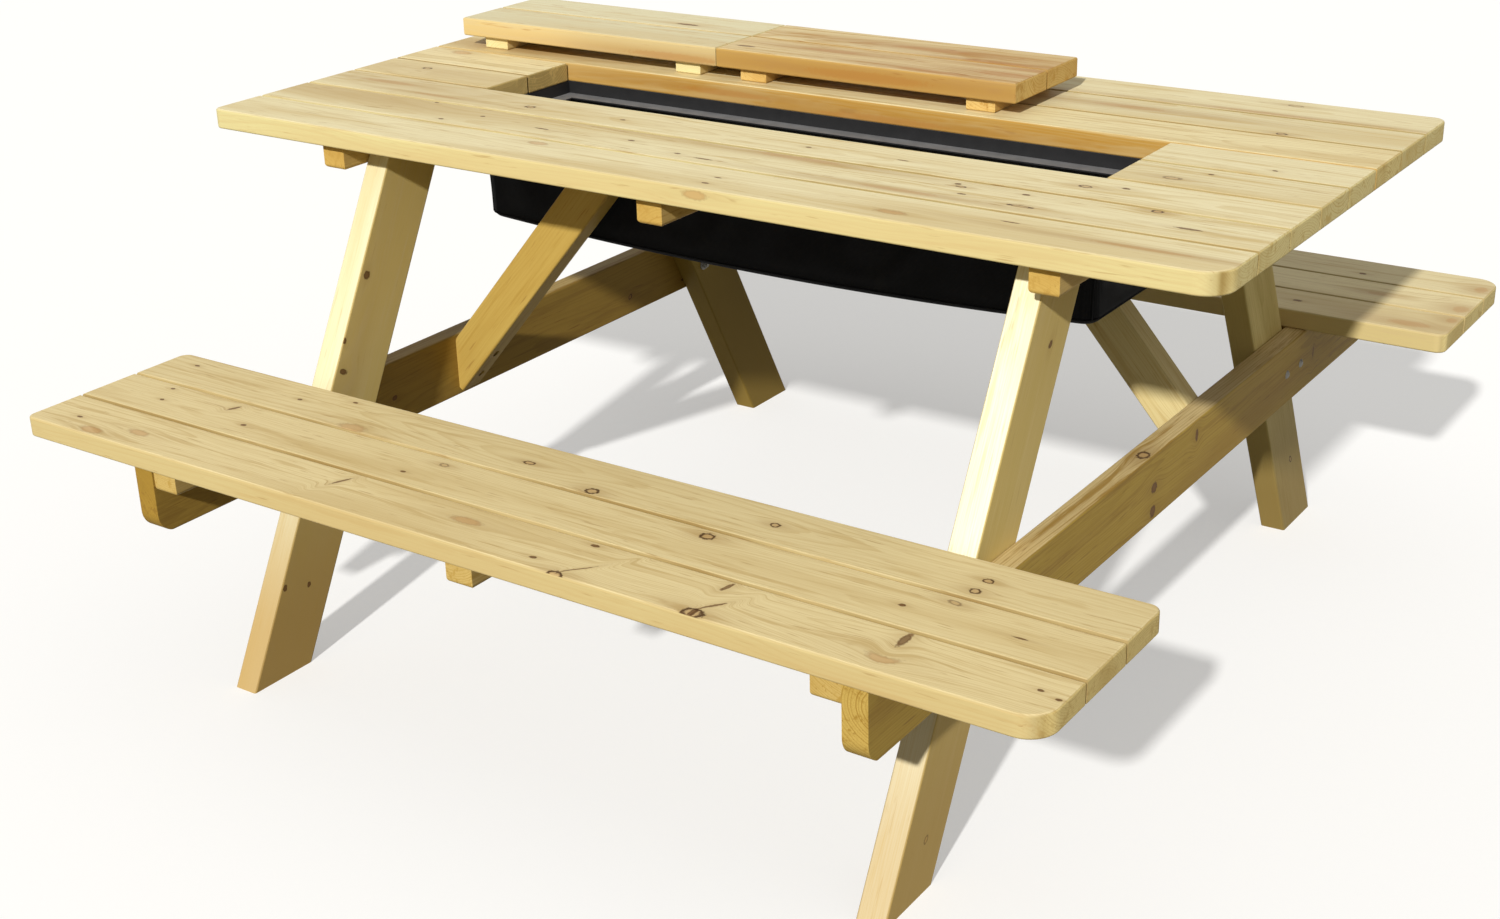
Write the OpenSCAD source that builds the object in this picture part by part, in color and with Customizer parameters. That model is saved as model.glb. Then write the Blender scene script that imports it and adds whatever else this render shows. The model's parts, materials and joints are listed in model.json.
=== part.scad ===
// Picnic table with two fixed benches and a drop-in cooler bag under a covered opening.
// X runs along the boards, Y from the front bench to the rear bench, Z is up from the floor.

/* [Boards] */
// Width of the tabletop, bench and lid boards
board_width = 90; // [84:1:96]
// Thickness of the tabletop, bench and lid boards
board_thickness = 28; // [24:1:34]
// Gap between neighbouring boards
board_gap = 3.5; // [2:0.5:6]
// Radius to which the long edges of all timber are eased
edge_ease = 3; // [1:0.5:5]

/* [Tabletop] */
// Length of the tabletop
table_length = 1500; // [1400:10:1800]
// Height of the tabletop above the floor
table_height = 720; // [690:5:770]
// Radius of the tabletop's front right corner
table_corner_right = 36; // [8:1:60]
// Radius of the tabletop's rear right corner
table_corner_rear = 17; // [8:1:60]
// Radius of the tabletop's two corners at its left end
table_corner_left = 12; // [8:1:60]
// Length of the cooler opening in the tabletop
opening_length = 974; // [900:2:1040]

/* [Table cleats] */
// Width of the cleats under the tabletop
table_cleat_width = 38; // [32:1:60]
// Height of the cleats under the tabletop
table_cleat_height = 36; // [32:1:50]
// Distance from the tabletop's long edge to the end of a cleat
table_cleat_set_in = 18.25; // [8:0.25:40]
// Radius of the rounded lower edges of the cleats
cleat_round = 6; // [2:0.5:10]

/* [Legs] */
// Width of a leg across its face
leg_width = 95; // [84:1:105]
// Thickness of a leg
leg_thickness = 38; // [32:1:48]
// Distance from the middle of the table to the middle of a foot
foot_offset = 607.5; // [570:2.5:640]
// Distance from the end rails out to the joint of legs and beams
frame_gap = 7.5; // [0.5:0.5:20]
// Distance from the middle of a leg's two top bolts inwards to the leg's centre line
leg_set_in = 7; // [0:0.5:8]

/* [Seat beams] */
// Height of a seat beam
beam_height = 95; // [85:1:110]
// Thickness of a seat beam
beam_thickness = 32; // [28:1:48]
// Radius of the lower corners at a beam's ends
beam_corner = 28; // [10:1:60]
// Distance from the outer edge of a bench to the end of the beam
beam_set_in = 9; // [2:1:30]
// Distance between the two bolts where a leg crosses a beam
beam_bolt_spacing = 54; // [40:1:60]

/* [Benches] */
// Length of a bench
bench_length = 1500; // [1300:10:1800]
// Height of a bench above the floor
bench_height = 388; // [370:2:430]
// Gap between a leg and the inner bench board
bench_leg_gap = 7.6; // [3:0.2:30]
// Radius of a bench's outer corner at its right end
bench_corner_right = 34; // [8:1:60]
// Radius of a bench's outer corner at its left end
bench_corner_left = 12; // [8:1:60]
// Radius of a bench's inner corners
bench_inner_corner = 15; // [6:1:40]
// Width of the cleats under a bench
bench_cleat_width = 40; // [34:1:60]
// Height of the cleats under a bench
bench_cleat_height = 32; // [26:1:40]
// Distance from a bench's inner edge to the end of a cleat
bench_cleat_inner_set_in = 22; // [18:1:26]
// Distance from a bench's outer edge to the end of a cleat
bench_cleat_outer_set_in = 12; // [5:1:24]

/* [Braces] */
// Width of a brace across its face
brace_width = 59; // [50:1:70]
// Thickness of a brace
brace_thickness = 38; // [30:1:44]
// Angle of a brace above the level
brace_angle = 49; // [46:0.5:55]
// Distance from the top of a seat beam down to the top of a brace's foot
brace_drop = 5; // [0:1:20]
// Gap between a brace and the flange of the rail beside it
brace_gap = 6.5; // [3:0.5:14]

/* [Cooler rails] */
// Thickness of the folded steel rails
rail_steel = 2; // [1.5:0.25:3]
// Distance from the opening's edge out to a rail's web
rail_set_back = 1.25; // [0.5:0.25:3]
// Width of the ledge that carries the lids
rail_ledge = 24; // [16:1:32]
// Width of the flange of the two long rails
long_flange = 24; // [18:1:30]
// Width of the flange of the two end rails
end_flange = 21; // [18:1:26]

/* [Cooler bag] */
// Thickness of the outer fabric
bag_fabric = 1.6; // [1:0.1:2.5]
// Thickness of the foam insulation
bag_foam = 6; // [4:0.5:10]
// Thickness of the inner liner
bag_liner = 1.5; // [1:0.1:2.5]
// Depth of the bag's inside below the rails, at its ends
bag_depth = 129; // [100:1:170]
// How far the middle of the bottom sags below its ends
bag_sag = 15; // [0:0.5:25]
// How far the end walls lean in from the rim to the bottom
bag_end_taper = 14; // [5:1:30]
// Radius of the bag's upright corners
bag_corner = 12; // [8:1:40]
// Radius of the bag's lower edges
bag_round = 3; // [2:1:24]
// Width of the hem that lies under the rail flanges
bag_hem = 14; // [12:0.5:16]

/* [Lids] */
// Gap between the lids and the ends of the opening
lid_gap = 3.5; // [2:0.25:6]
// Width of the battens under the lids
batten_width = 44; // [30:1:60]
// Thickness of the battens under the lids
batten_thickness = 18; // [14:1:26]
// Distance from a lid's long edge to the end of a batten
batten_set_in = 10; // [4:1:16]
// Distance from a lid's end to the nearer edge of a batten
batten_end_distance = 35; // [20:1:80]
// Gap from the opening back to the lids that lie on the tabletop
lid_lay_back = 14.25; // [4:0.25:60]
// Distance from the middle of the table to where the two resting lids meet
lid_lay_left = 222.75; // [200:0.25:260]
// Gap between the two resting lids
lid_lay_gap = 1.5; // [0.5:0.25:10]

/* [Bolts and screws] */
// Diameter of the frame bolts
bolt_d = 6; // [5:1:10]
// Diameter of the domed bolt heads
bolt_head_d = 13; // [11:1:24]
// Height of the domed bolt heads
bolt_head_height = 3.4; // [2.5:0.1:6]
// Diameter of the washers
washer_d = 18; // [14:1:28]
// Thickness of the washers
washer_thickness = 1.6; // [1:0.1:3]
// Width of the nuts across their flats
nut_width = 10; // [8:1:17]
// Height of the nuts
nut_height = 5; // [4:0.5:9]
// Diameter of the wood screws
screw_d = 4.5; // [3.5:0.5:5.5]
// Diameter of the wood screws' heads
screw_head_d = 8.8; // [8:0.1:10]
// Distance between the two screws that hold one board to one cleat
screw_spacing = 30; // [26:1:36]
// Timber left between the tip of a screw and the top of its board
screw_cover = 8; // [5:1:12]

/* [Hidden] */

$fn = 48;

// Colours
wood = "#dcc482";
wood_end = "#c9a862";
black_steel = "#1d1d1f";
zinc = "#b4b6b8";
black_fabric = "#141416";
foam_grey = "#8d8f92";
liner_charcoal = "#3a3b3d";

// Tabletop
pitch = board_width + board_gap;
board_count = 8;
bench_board_count = 3;
table_width = board_count * pitch - board_gap;
underside = table_height - board_thickness;
opening_x = opening_length / 2;
opening_y = 1.5 * pitch - board_width / 2;

// Rails
fit = 0.3;
web_in_x = opening_x + rail_set_back;
web_in_y = opening_y + rail_set_back;
web_out_x = web_in_x + rail_steel;
web_out_y = web_in_y + rail_steel;
long_flange_edge = web_out_y + long_flange;
end_flange_edge = web_out_x + end_flange;
ledge_top = underside - batten_thickness;
ledge_under = ledge_top - rail_steel;
flange_under = underside - rail_steel;
long_rail_screws = [for (share = [-0.86, -0.29, 0.29, 0.86]) share * opening_x];
end_rail_screw_share = 0.57;
end_rail_screw_y = end_rail_screw_share * web_in_y;

// Frame: the legs and beams meet at joint_x, outside the end rails
joint_x = end_flange_edge + frame_gap;
cleat_mid_z = underside - table_cleat_height / 2;
top_bolts_y = [2.5 * pitch, 3 * pitch];
leg_top = 2.75 * pitch - leg_set_in;
leg_slope = (foot_offset - leg_top) / cleat_mid_z;
leg_lean = atan(leg_slope);
leg_half = leg_width / 2 / cos(leg_lean);
bench_under = bench_height - board_thickness;
beam_mid_z = bench_under - beam_height / 2;
beam_bolts_y = [
    leg_y(beam_mid_z) - beam_bolt_spacing / 2,
    leg_y(beam_mid_z) + beam_bolt_spacing / 2
];
table_cleat_end = table_width / 2 - table_cleat_set_in;
cleat_clearance = 3.5;
middle_cleat_start = long_flange_edge + cleat_clearance;

// Benches
bench_inner = leg_y(bench_under) + leg_half + bench_leg_gap;
bench_outer = bench_inner + bench_board_count * pitch - board_gap;
bench_cleat_from = bench_inner + bench_cleat_inner_set_in;
bench_cleat_to = bench_outer - bench_cleat_outer_set_in;
beam_end = bench_outer - beam_set_in;
end_bench_cleat_x = joint_x - bench_cleat_width / 2;

// Braces
brace_inner_y = long_flange_edge + brace_gap;
brace_mid_y = brace_inner_y + brace_thickness / 2;
brace_foot_z = bench_under - brace_drop;
brace_top_outer = joint_x - (underside - brace_foot_z) / tan(brace_angle);
brace_top_inner = brace_top_outer - brace_width / sin(brace_angle);
brace_head_depth = 23;
brace_top_screws = [for (in = [25, 52]) brace_top_inner + in];
brace_low_screws = [for (down = [19, 57]) brace_foot_z - down];
counterbore_room = 1.6;
counterbore_d = screw_head_d + counterbore_room;

// Screws
screw_play = 0.15;
screw_head_height = (screw_head_d - screw_d) / 2;
screw_tip = screw_d;
screw_bite = board_thickness - screw_cover;
screw_end_margin = 7;
rail_screw_bite = 16;
rail_head_height = 2.6;
rail_shank_d = 4;
beam_screw_share = 0.7;
beam_screw_depth = beam_screw_share * beam_thickness;

// Bolts
bolt_play = 0.3;
neck_depth = 4;
bolt_tail = 3;
hole_run = 10;
nut_play = 0.1;

// Lids
lid_length = (opening_length - 3 * lid_gap) / 2;
lid_width = 2 * pitch - board_gap;
lid_y = opening_y + lid_lay_back + lid_width / 2;
lid_left_x = -lid_lay_left - lid_lay_gap / 2 - lid_length / 2;
lid_right_x = -lid_lay_left + lid_lay_gap / 2 + lid_length / 2;
batten_x = lid_length / 2 - batten_end_distance - batten_width / 2;
batten_length = lid_width - 2 * batten_set_in;

// Bag
bag_play = 0.3;
rail_clearance = 0.5;
neck_drop = 2;
neck_height = 15;
neck_corner = 0.5;
bag_top = flange_under;
bag_neck = ledge_under - neck_drop;
bag_shoulder = bag_neck - neck_height;
bag_floor = ledge_under - bag_depth;
bag_inner_x = web_out_x + rail_clearance;
bag_inner_y = web_out_y + rail_clearance;
taper_power = 2.4;
wall_steps = [0.35, 0.62];
side_steps = 8;
corner_steps = 4;
round_steps = 3;

function board_y(n) = (n - (board_count + 1) / 2) * pitch;
function bench_y(n) = bench_inner + board_width / 2 + (n - 1) * pitch;
function leg_y(z) = foot_offset - leg_slope * z;

// Screw rows: every board has two screws in each cleat that reaches far enough
function screw_rows(centres, from, to) = [
    for (c = centres, s = [-1, 1])
        let (y = c + s * screw_spacing / 2)
        if (y > from + screw_end_margin && y < to - screw_end_margin) y
];
table_centres = [for (n = [1 : board_count]) board_y(n)];
bench_centres = [for (n = [1 : bench_board_count]) bench_y(n)];
end_cleat_x = joint_x + table_cleat_width / 2;
end_rows = screw_rows(table_centres, -table_cleat_end, table_cleat_end);
middle_rows = screw_rows(table_centres, middle_cleat_start, table_cleat_end);
bench_rows = screw_rows(bench_centres, bench_cleat_from, bench_cleat_to);

function table_points() = concat(
    [for (x = [-end_cleat_x, end_cleat_x], y = end_rows) [x, y]],
    [for (y = middle_rows, s = [-1, 1]) [0, s * y]]
);
function rail_points() = concat(
    [for (x = long_rail_screws, s = [-1, 1]) [x, s * (web_out_y + long_flange / 2)]],
    [for (s = [-1, 1], t = [-1, 1]) [s * (web_out_x + end_flange / 2), t * end_rail_screw_y]]
);
function near(points, y, half) = [for (p = points) if (abs(p[1] - y) < half) p];

// Flat outline with four arcs of one radius at its corners
module eased_rect(w, h, r) {
    square([w - 2 * r, h], center = true);
    square([w, h - 2 * r], center = true);
    for (x = [-1, 1], y = [-1, 1])
        translate([x * (w / 2 - r), y * (h / 2 - r)])
            circle(r);
}

// Square timber along X, centred on Y, from z = 0 up, with its long and end edges eased
module timber_x(length, width, height) {
    intersection() {
        rotate([90, 0, 90])
            linear_extrude(length, center = true)
                translate([0, height / 2])
                    eased_rect(width, height, edge_ease);
        rotate([90, 0, 0])
            linear_extrude(width, center = true)
                translate([0, height / 2])
                    eased_rect(length, height, edge_ease);
    }
}

// Rounded board corner, with the eased edge carried round it
module corner_post(r) {
    rotate_extrude(angle = 90)
        intersection() {
            translate([0, board_thickness / 2])
                eased_rect(2 * r, board_thickness, edge_ease);
            square([r, board_thickness]);
        }
}

// Board along X with rounded plan corners, each given as [side in X, side in Y, radius]
module board_x(length, corners) {
    difference() {
        timber_x(length, board_width, board_thickness);
        for (c = corners)
            at_corner(length, c)
                translate([0, 0, -board_thickness])
                    cube([2 * c[2], 2 * c[2], 3 * board_thickness]);
    }
    for (c = corners)
        at_corner(length, c)
            corner_post(c[2]);
}

// Puts what is modelled round the middle of a right rear corner's arc into one corner of a board
module at_corner(length, c) {
    quarter(c[0], c[1])
        translate([length / 2 - c[2], board_width / 2 - c[2], 0])
            children();
}

// Countersunk wood screw with its head's face at z = 0, pointing up
module wood_screw(length, play = 0) {
    head = screw_head_d / 2 + play;
    shank = screw_d / 2 + play;
    rotate_extrude()
        polygon([
            [0, 0], [head, 0], [shank, screw_head_height],
            [shank, length - screw_tip + play], [0, length + play]
        ]);
}

// Round-headed rail screw with its head under z = 0, pointing up
module rail_screw(play = 0) {
    length = bag_fabric + rail_steel + rail_screw_bite;
    translate([0, 0, -rail_head_height])
        cylinder(d = screw_head_d, h = rail_head_height);
    cylinder(d = rail_shank_d + 2 * play, h = length + play);
}

// Domed bolt with a square neck: its head sits outside x = 0 and it points to -X
module dome_bolt(grip) {
    dome_r = (bolt_head_d * bolt_head_d / 4 + bolt_head_height * bolt_head_height) / (2 * bolt_head_height);
    rotate([0, 90, 0])
        rotate_extrude()
            intersection() {
                translate([0, bolt_head_height - dome_r])
                    circle(dome_r, $fn = 96);
                square([bolt_head_d / 2, bolt_head_height]);
            }
    bolt_shape(grip + washer_thickness + nut_height + bolt_tail, 0);
}

// Shank and square neck of a bolt, or its hole when it gets play
module bolt_shape(length, play) {
    rotate([0, -90, 0])
        cylinder(d = bolt_d + 2 * play, h = length);
    translate([-(neck_depth + play) / 2, 0, 0])
        cube([neck_depth + play, bolt_d + play, bolt_d + play], center = true);
}

// Hole for a bolt from the outer face at x = 0, with room beyond its grip
module bolt_hole(grip) {
    bolt_shape(grip + hole_run, bolt_play);
    translate([hole_run, 0, 0])
        rotate([0, -90, 0])
            cylinder(d = bolt_d + 2 * bolt_play, h = hole_run + grip);
}

// Puts what is modelled at the right rear into one of the four quarters
module quarter(side_x, side_y) {
    if (side_x > 0 && side_y > 0)
        children();
    else if (side_x > 0)
        mirror([0, 1, 0]) children();
    else if (side_y > 0)
        mirror([1, 0, 0]) children();
    else
        rotate([0, 0, 180]) children();
}

// Places of the bolts of one quarter, at the outer face of what they clamp
module at_beam_bolts() {
    for (y = beam_bolts_y)
        translate([joint_x + beam_thickness, y, beam_mid_z])
            children();
}
module at_cleat_bolts() {
    for (y = top_bolts_y)
        translate([joint_x + table_cleat_width, y, cleat_mid_z])
            children();
}

// Full-length or short tabletop board, drilled from below for every screw that enters it
module tabletop_board(n, from, to) {
    side = n == 1 ? -1 : 1;
    outer = n == 1 || n == board_count;
    right_corner = n == 1 ? table_corner_right : table_corner_rear;
    corners = outer ? [[-1, side, table_corner_left], [1, side, right_corner]] : [];
    half = board_width / 2;
    color(wood)
        difference() {
            translate([(from + to) / 2, board_y(n), underside])
                board_x(to - from, corners);
            for (p = near(table_points(), board_y(n), half))
                if (p[0] > from && p[0] < to)
                    translate([p[0], p[1], underside - table_cleat_height])
                        wood_screw(table_cleat_height + screw_bite, screw_play);
            for (p = near(rail_points(), board_y(n), half))
                if (p[0] > from && p[0] < to)
                    translate([p[0], p[1], flange_under - bag_fabric])
                        rail_screw(screw_play);
            if (n == 3 || n == 6)
                brace_top_holes(n == 3 ? -1 : 1);
        }
}

module brace_top_holes(side) {
    for (x = brace_top_screws)
        translate([side * x, side * brace_mid_y, underside - brace_head_depth])
            wood_screw(brace_head_depth + screw_bite, screw_play);
}

// Short board beside the opening, with square ends
module short_board(n, side) {
    edge = table_length / 2;
    tabletop_board(n, side > 0 ? opening_x : -edge, side > 0 ? edge : -opening_x);
}

// Cleat along Y: flat on top, rounded below and at its ends
module cleat_y(length, width, height) {
    intersection() {
        rotate([90, 0, 0])
            linear_extrude(length, center = true)
                lower_rounded(width, height);
        rotate([90, 0, 90])
            linear_extrude(width, center = true)
                lower_rounded(length, height);
    }
}

// Flat outline with its top edge at y = 0 and rounded lower corners
module lower_rounded(w, h) {
    translate([-w / 2, cleat_round - h])
        square([w, h - cleat_round]);
    translate([cleat_round - w / 2, -h])
        square([w - 2 * cleat_round, cleat_round]);
    for (s = [-1, 1])
        translate([s * (w / 2 - cleat_round), cleat_round - h])
            circle(cleat_round);
}

module end_table_cleat(side) {
    quarter(side, 1)
        color(wood_end)
            difference() {
                translate([end_cleat_x, 0, underside])
                    cleat_y(2 * table_cleat_end, table_cleat_width, table_cleat_height);
                for (y = end_rows)
                    translate([end_cleat_x, y, underside - table_cleat_height])
                        wood_screw(table_cleat_height + screw_bite, screw_play);
                for (s = [-1, 1])
                    quarter(1, s)
                        at_cleat_bolts()
                            bolt_hole(table_cleat_width);
            }
}

module middle_table_cleat(side) {
    quarter(1, side)
        color(wood_end)
            difference() {
                translate([0, (middle_cleat_start + table_cleat_end) / 2, underside])
                    cleat_y(table_cleat_end - middle_cleat_start, table_cleat_width, table_cleat_height);
                for (y = middle_rows)
                    translate([0, y, underside - table_cleat_height])
                        wood_screw(table_cleat_height + screw_bite, screw_play);
            }
}

// Leaning leg, cut level at the floor and under the tabletop
module leg(side_x, side_y) {
    reach = underside / cos(leg_lean);
    quarter(side_x, side_y)
        color(wood)
            difference() {
                intersection() {
                    translate([joint_x - leg_thickness / 2, foot_offset, 0])
                        rotate([leg_lean, 0, 0])
                            translate([0, 0, -leg_width])
                                linear_extrude(reach + 2 * leg_width)
                                    eased_rect(leg_thickness, leg_width, edge_ease);
                    translate([joint_x - 2 * leg_thickness, 0, 0])
                        cube([4 * leg_thickness, foot_offset + 2 * leg_width, underside]);
                }
                at_beam_bolts()
                    bolt_hole(beam_thickness + leg_thickness);
                at_cleat_bolts()
                    bolt_hole(table_cleat_width + leg_thickness);
            }
}

// Seat beam across both legs, its lower corners cut round
module seat_beam(side) {
    quarter(side, 1)
        color(wood)
            difference() {
                intersection() {
                    translate([joint_x, 0, bench_under])
                        rotate([90, 0, 90])
                            linear_extrude(beam_thickness)
                                beam_outline();
                    translate([joint_x + beam_thickness / 2, beam_end + beam_corner, beam_mid_z])
                        rotate([90, 0, 0])
                            linear_extrude(2 * (beam_end + beam_corner))
                                eased_rect(beam_thickness, beam_height, edge_ease);
                }
                for (s = [-1, 1])
                    quarter(1, s) {
                        at_beam_bolts()
                            bolt_hole(beam_thickness);
                        at_beam_screws()
                            wood_screw(bench_cleat_width + beam_screw_depth, screw_play);
                    }
                quarter(1, side)
                    at_brace_low_screws()
                        wood_screw(brace_head_depth + beam_screw_depth, screw_play);
            }
}

module beam_outline() {
    translate([-beam_end, beam_corner - beam_height])
        square([2 * beam_end, beam_height - beam_corner]);
    translate([beam_corner - beam_end, -beam_height])
        square([2 * (beam_end - beam_corner), beam_corner]);
    for (s = [-1, 1])
        translate([s * (beam_end - beam_corner), beam_corner - beam_height])
            circle(beam_corner, $fn = 96);
}

// Places of the level screws that hold a bench's end cleats to the beam, between its boards
module at_beam_screws() {
    for (n = [1 : bench_board_count - 1])
        translate([joint_x - bench_cleat_width, bench_y(n) + pitch / 2, bench_under - bench_cleat_height / 2])
            rotate([0, 90, 0])
                children();
}

// Places of the level screws at the foot of a brace
module at_brace_low_screws() {
    for (z = brace_low_screws)
        translate([joint_x - brace_head_depth, brace_mid_y, z])
            rotate([0, 90, 0])
                children();
}

// Places of the upright screws at the head of a brace
module at_brace_top_screws() {
    for (x = brace_top_screws)
        translate([x, brace_mid_y, underside - brace_head_depth])
            children();
}

// Brace from the seat beam up to the tabletop: the right one stands behind the bag, the left one before it
module brace(side) {
    run = (joint_x - brace_top_inner) / cos(brace_angle);
    quarter(side, side)
        color(wood)
            difference() {
                intersection() {
                    translate([joint_x, brace_mid_y, brace_foot_z])
                        rotate([0, -90 + brace_angle, 0])
                            translate([-brace_width / 2, 0, -brace_width])
                                linear_extrude(run + 2 * brace_width)
                                    eased_rect(brace_width, brace_thickness, edge_ease);
                    cube([joint_x, brace_mid_y + brace_thickness, underside]);
                }
                at_brace_low_screws() {
                    wood_screw(brace_head_depth + beam_screw_depth, screw_play);
                    translate([0, 0, -brace_width])
                        cylinder(d = counterbore_d, h = brace_width);
                }
                at_brace_top_screws() {
                    wood_screw(brace_head_depth + screw_bite, screw_play);
                    translate([0, 0, -brace_width])
                        cylinder(d = counterbore_d, h = brace_width);
                }
            }
}

// Bench board: 1 is nearest the table, 3 is the outer one
module bench_board(side, n) {
    inner = [for (s = [-1, 1]) [s, -1, bench_inner_corner]];
    outer = [[-1, 1, bench_corner_left], [1, 1, bench_corner_right]];
    corners = n == 1 ? inner : n == bench_board_count ? outer : [];
    quarter(1, side)
        color(wood)
            difference() {
                translate([0, bench_y(n), bench_under])
                    board_x(bench_length, corners);
                for (x = [-end_bench_cleat_x, 0, end_bench_cleat_x])
                    for (y = bench_rows)
                        if (abs(y - bench_y(n)) < board_width / 2)
                            translate([x, y, bench_under - bench_cleat_height])
                                wood_screw(bench_cleat_height + screw_bite, screw_play);
            }
}

// Bench cleat: side_x is -1, 0 or 1 for left, middle or right
module bench_cleat(side_x, side_y) {
    x = abs(side_x) * end_bench_cleat_x;
    quarter(side_x < 0 ? -1 : 1, side_y)
        color(wood_end)
            difference() {
                translate([x, (bench_cleat_from + bench_cleat_to) / 2, bench_under])
                    cleat_y(bench_cleat_to - bench_cleat_from, bench_cleat_width, bench_cleat_height);
                for (y = bench_rows)
                    translate([x, y, bench_under - bench_cleat_height])
                        wood_screw(bench_cleat_height + screw_bite, screw_play);
                if (side_x != 0)
                    at_beam_screws()
                        wood_screw(bench_cleat_width + beam_screw_depth, screw_play);
            }
}

// Folded rail section, y outward from the opening and z up: ledge, web and flange
module rail_section(web_in, flange, with_ledge) {
    web_out = web_in + rail_steel;
    translate([web_in, ledge_under])
        square([rail_steel, underside - ledge_under]);
    translate([web_out, flange_under])
        square([flange, rail_steel]);
    if (with_ledge)
        translate([web_in - rail_ledge, ledge_under])
            square([rail_ledge + rail_steel, rail_steel]);
}

// Long rail beside the opening: its ledge stops short of the end rails' webs
module long_rail(side) {
    quarter(1, side)
        color(black_steel)
            difference() {
                union() {
                    rotate([90, 0, 90])
                        linear_extrude(2 * web_out_x, center = true)
                            rail_section(web_in_y, long_flange, false);
                    rotate([90, 0, 90])
                        linear_extrude(2 * (web_in_x - fit), center = true)
                            rail_section(web_in_y, long_flange, true);
                }
                for (x = long_rail_screws)
                    translate([x, web_out_y + long_flange / 2, flange_under - 1])
                        cylinder(d = rail_shank_d + 2 * screw_play, h = rail_steel + 2);
            }
}

// End rail between the long rails, its ledge cut back where theirs pass
module end_rail(side) {
    quarter(side, 1)
        color(black_steel)
            difference() {
                union() {
                    rotate([90, 0, 0])
                        linear_extrude(2 * (web_in_y - fit), center = true)
                            rail_section(web_in_x, end_flange, false);
                    rotate([90, 0, 0])
                        linear_extrude(2 * (web_in_y - rail_ledge - fit), center = true)
                            rail_section(web_in_x, end_flange, true);
                }
                for (s = [-1, 1])
                    translate([web_out_x + end_flange / 2, s * end_rail_screw_y, flange_under - 1])
                        cylinder(d = rail_shank_d + 2 * screw_play, h = rail_steel + 2);
            }
}

// The bag's layers are lofts of rings: each ring is a rounded rectangle at one height,
// set out from the liner's inner face, and its height follows the sag of the bottom.
function foam_share(z) = max(0, min(1, (bag_neck - z) / (bag_neck - bag_shoulder)));
function taper_share(z) = z >= bag_neck ? 0 : 1 - pow((z - bag_floor) / (bag_neck - bag_floor), taper_power);
function sag_share(z) = max(0, min(1, (bag_shoulder - z) / (bag_shoulder - bag_floor)));
function ring_front(out, z, place) =
    let (
        hx = bag_inner_x - bag_end_taper * taper_share(max(z, bag_floor)) + out,
        hy = bag_inner_y + out,
        r = neck_corner + (bag_corner - neck_corner) * foam_share(z) + out,
        drop = bag_sag * sag_share(z),
        arc = [
            for (k = [0 : corner_steps])
                let (a = 90 * k / corner_steps)
                [r - r * cos(a), r - r * sin(a)]
        ],
        flat = [
            for (p = arc) [p[0] - hx, p[1] - hy],
            for (k = [1 : side_steps - 1]) [(r - hx) + 2 * (hx - r) * k / side_steps, -hy],
            for (k = [corner_steps : -1 : 0]) [hx - arc[k][0], arc[k][1] - hy]
        ]
    )
    [for (p = flat) [p[0], place * p[1], z - drop * (1 - pow(p[0] / hx, 2))]];
function ring(out, z) =
    let (front = ring_front(out, z, 1), rear = ring_front(out, z, -1), n = len(front))
    concat(front, [for (k = [n - 1 : -1 : 0]) rear[k]]);

// Heights of the rings in the bag's wall
bag_heights = [for (share = wall_steps) bag_floor + share * bag_depth, bag_shoulder, bag_neck, bag_top];

// Path of one face of a layer, from the flat of the bottom up to a given top
function bowl_path(low, high, top) = concat(
    [for (k = [0 : round_steps])
        let (a = 90 * k / round_steps)
        [(bag_round + low) * sin(a) - bag_round, bag_floor + bag_round - (bag_round + low) * cos(a)]],
    [for (z = bag_heights) if (z < top) [low + (high - low) * (1 - foam_share(z)), z]],
    [[low + (high - low) * (1 - foam_share(top)), top]]
);

// Closed loft through rings, capped across at its first and last ring
module loft(path) {
    rings = [for (p = path) ring(p[0], p[1])];
    n = len(rings[0]);
    m = len(rings);
    half = n / 2;
    points = [for (r = rings, p = r) p];
    sides = [
        for (j = [0 : m - 2], k = [0 : n - 1])
            let (a = j * n + k, b = j * n + (k + 1) % n)
            each [[a, a + n, b + n], [a, b + n, b]]
    ];
    first_cap = [
        for (k = [0 : half - 2])
            each [[k, k + 1, n - 2 - k], [k, n - 2 - k, n - 1 - k]]
    ];
    base = (m - 1) * n;
    last_cap = [
        for (k = [0 : half - 2])
            each [[base + k, base + n - 2 - k, base + k + 1], [base + k, base + n - 1 - k, base + n - 2 - k]]
    ];
    polyhedron(points, concat(sides, first_cap, last_cap));
}

function reversed(list) = [for (k = [len(list) - 1 : -1 : 0]) list[k]];

liner_out = bag_liner;
foam_in = liner_out + bag_play;
foam_out = foam_in + bag_foam;
fabric_low = foam_out + bag_play;
fabric_high = liner_out + bag_play;

// Outer fabric with its hem turned out under the rail flanges
module cooler_bag() {
    hem_under = bag_top - bag_fabric;
    outer = bowl_path(fabric_low + bag_fabric, fabric_high + bag_fabric, hem_under);
    hem = [[fabric_high + bag_hem, hem_under], [fabric_high + bag_hem, bag_top]];
    inner = reversed(bowl_path(fabric_low, fabric_high, bag_top));
    color(black_fabric)
        difference() {
            loft(concat(outer, hem, inner));
            for (p = rail_points())
                translate([p[0], p[1], hem_under - 1])
                    cylinder(d = rail_shank_d + 2 * screw_play, h = bag_fabric + 2, $fn = 24);
        }
}

// Foam shell between the fabric and the liner, up to the bag's shoulder
module cooler_foam() {
    top = bag_shoulder - 1;
    color(foam_grey)
        loft(concat(bowl_path(foam_out, foam_out, top), reversed(bowl_path(foam_in, foam_in, top))));
}

module cooler_liner() {
    top = bag_top - bag_play;
    color(liner_charcoal)
        loft(concat(bowl_path(liner_out, liner_out, top), reversed(bowl_path(0, 0, top))));
}

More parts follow.
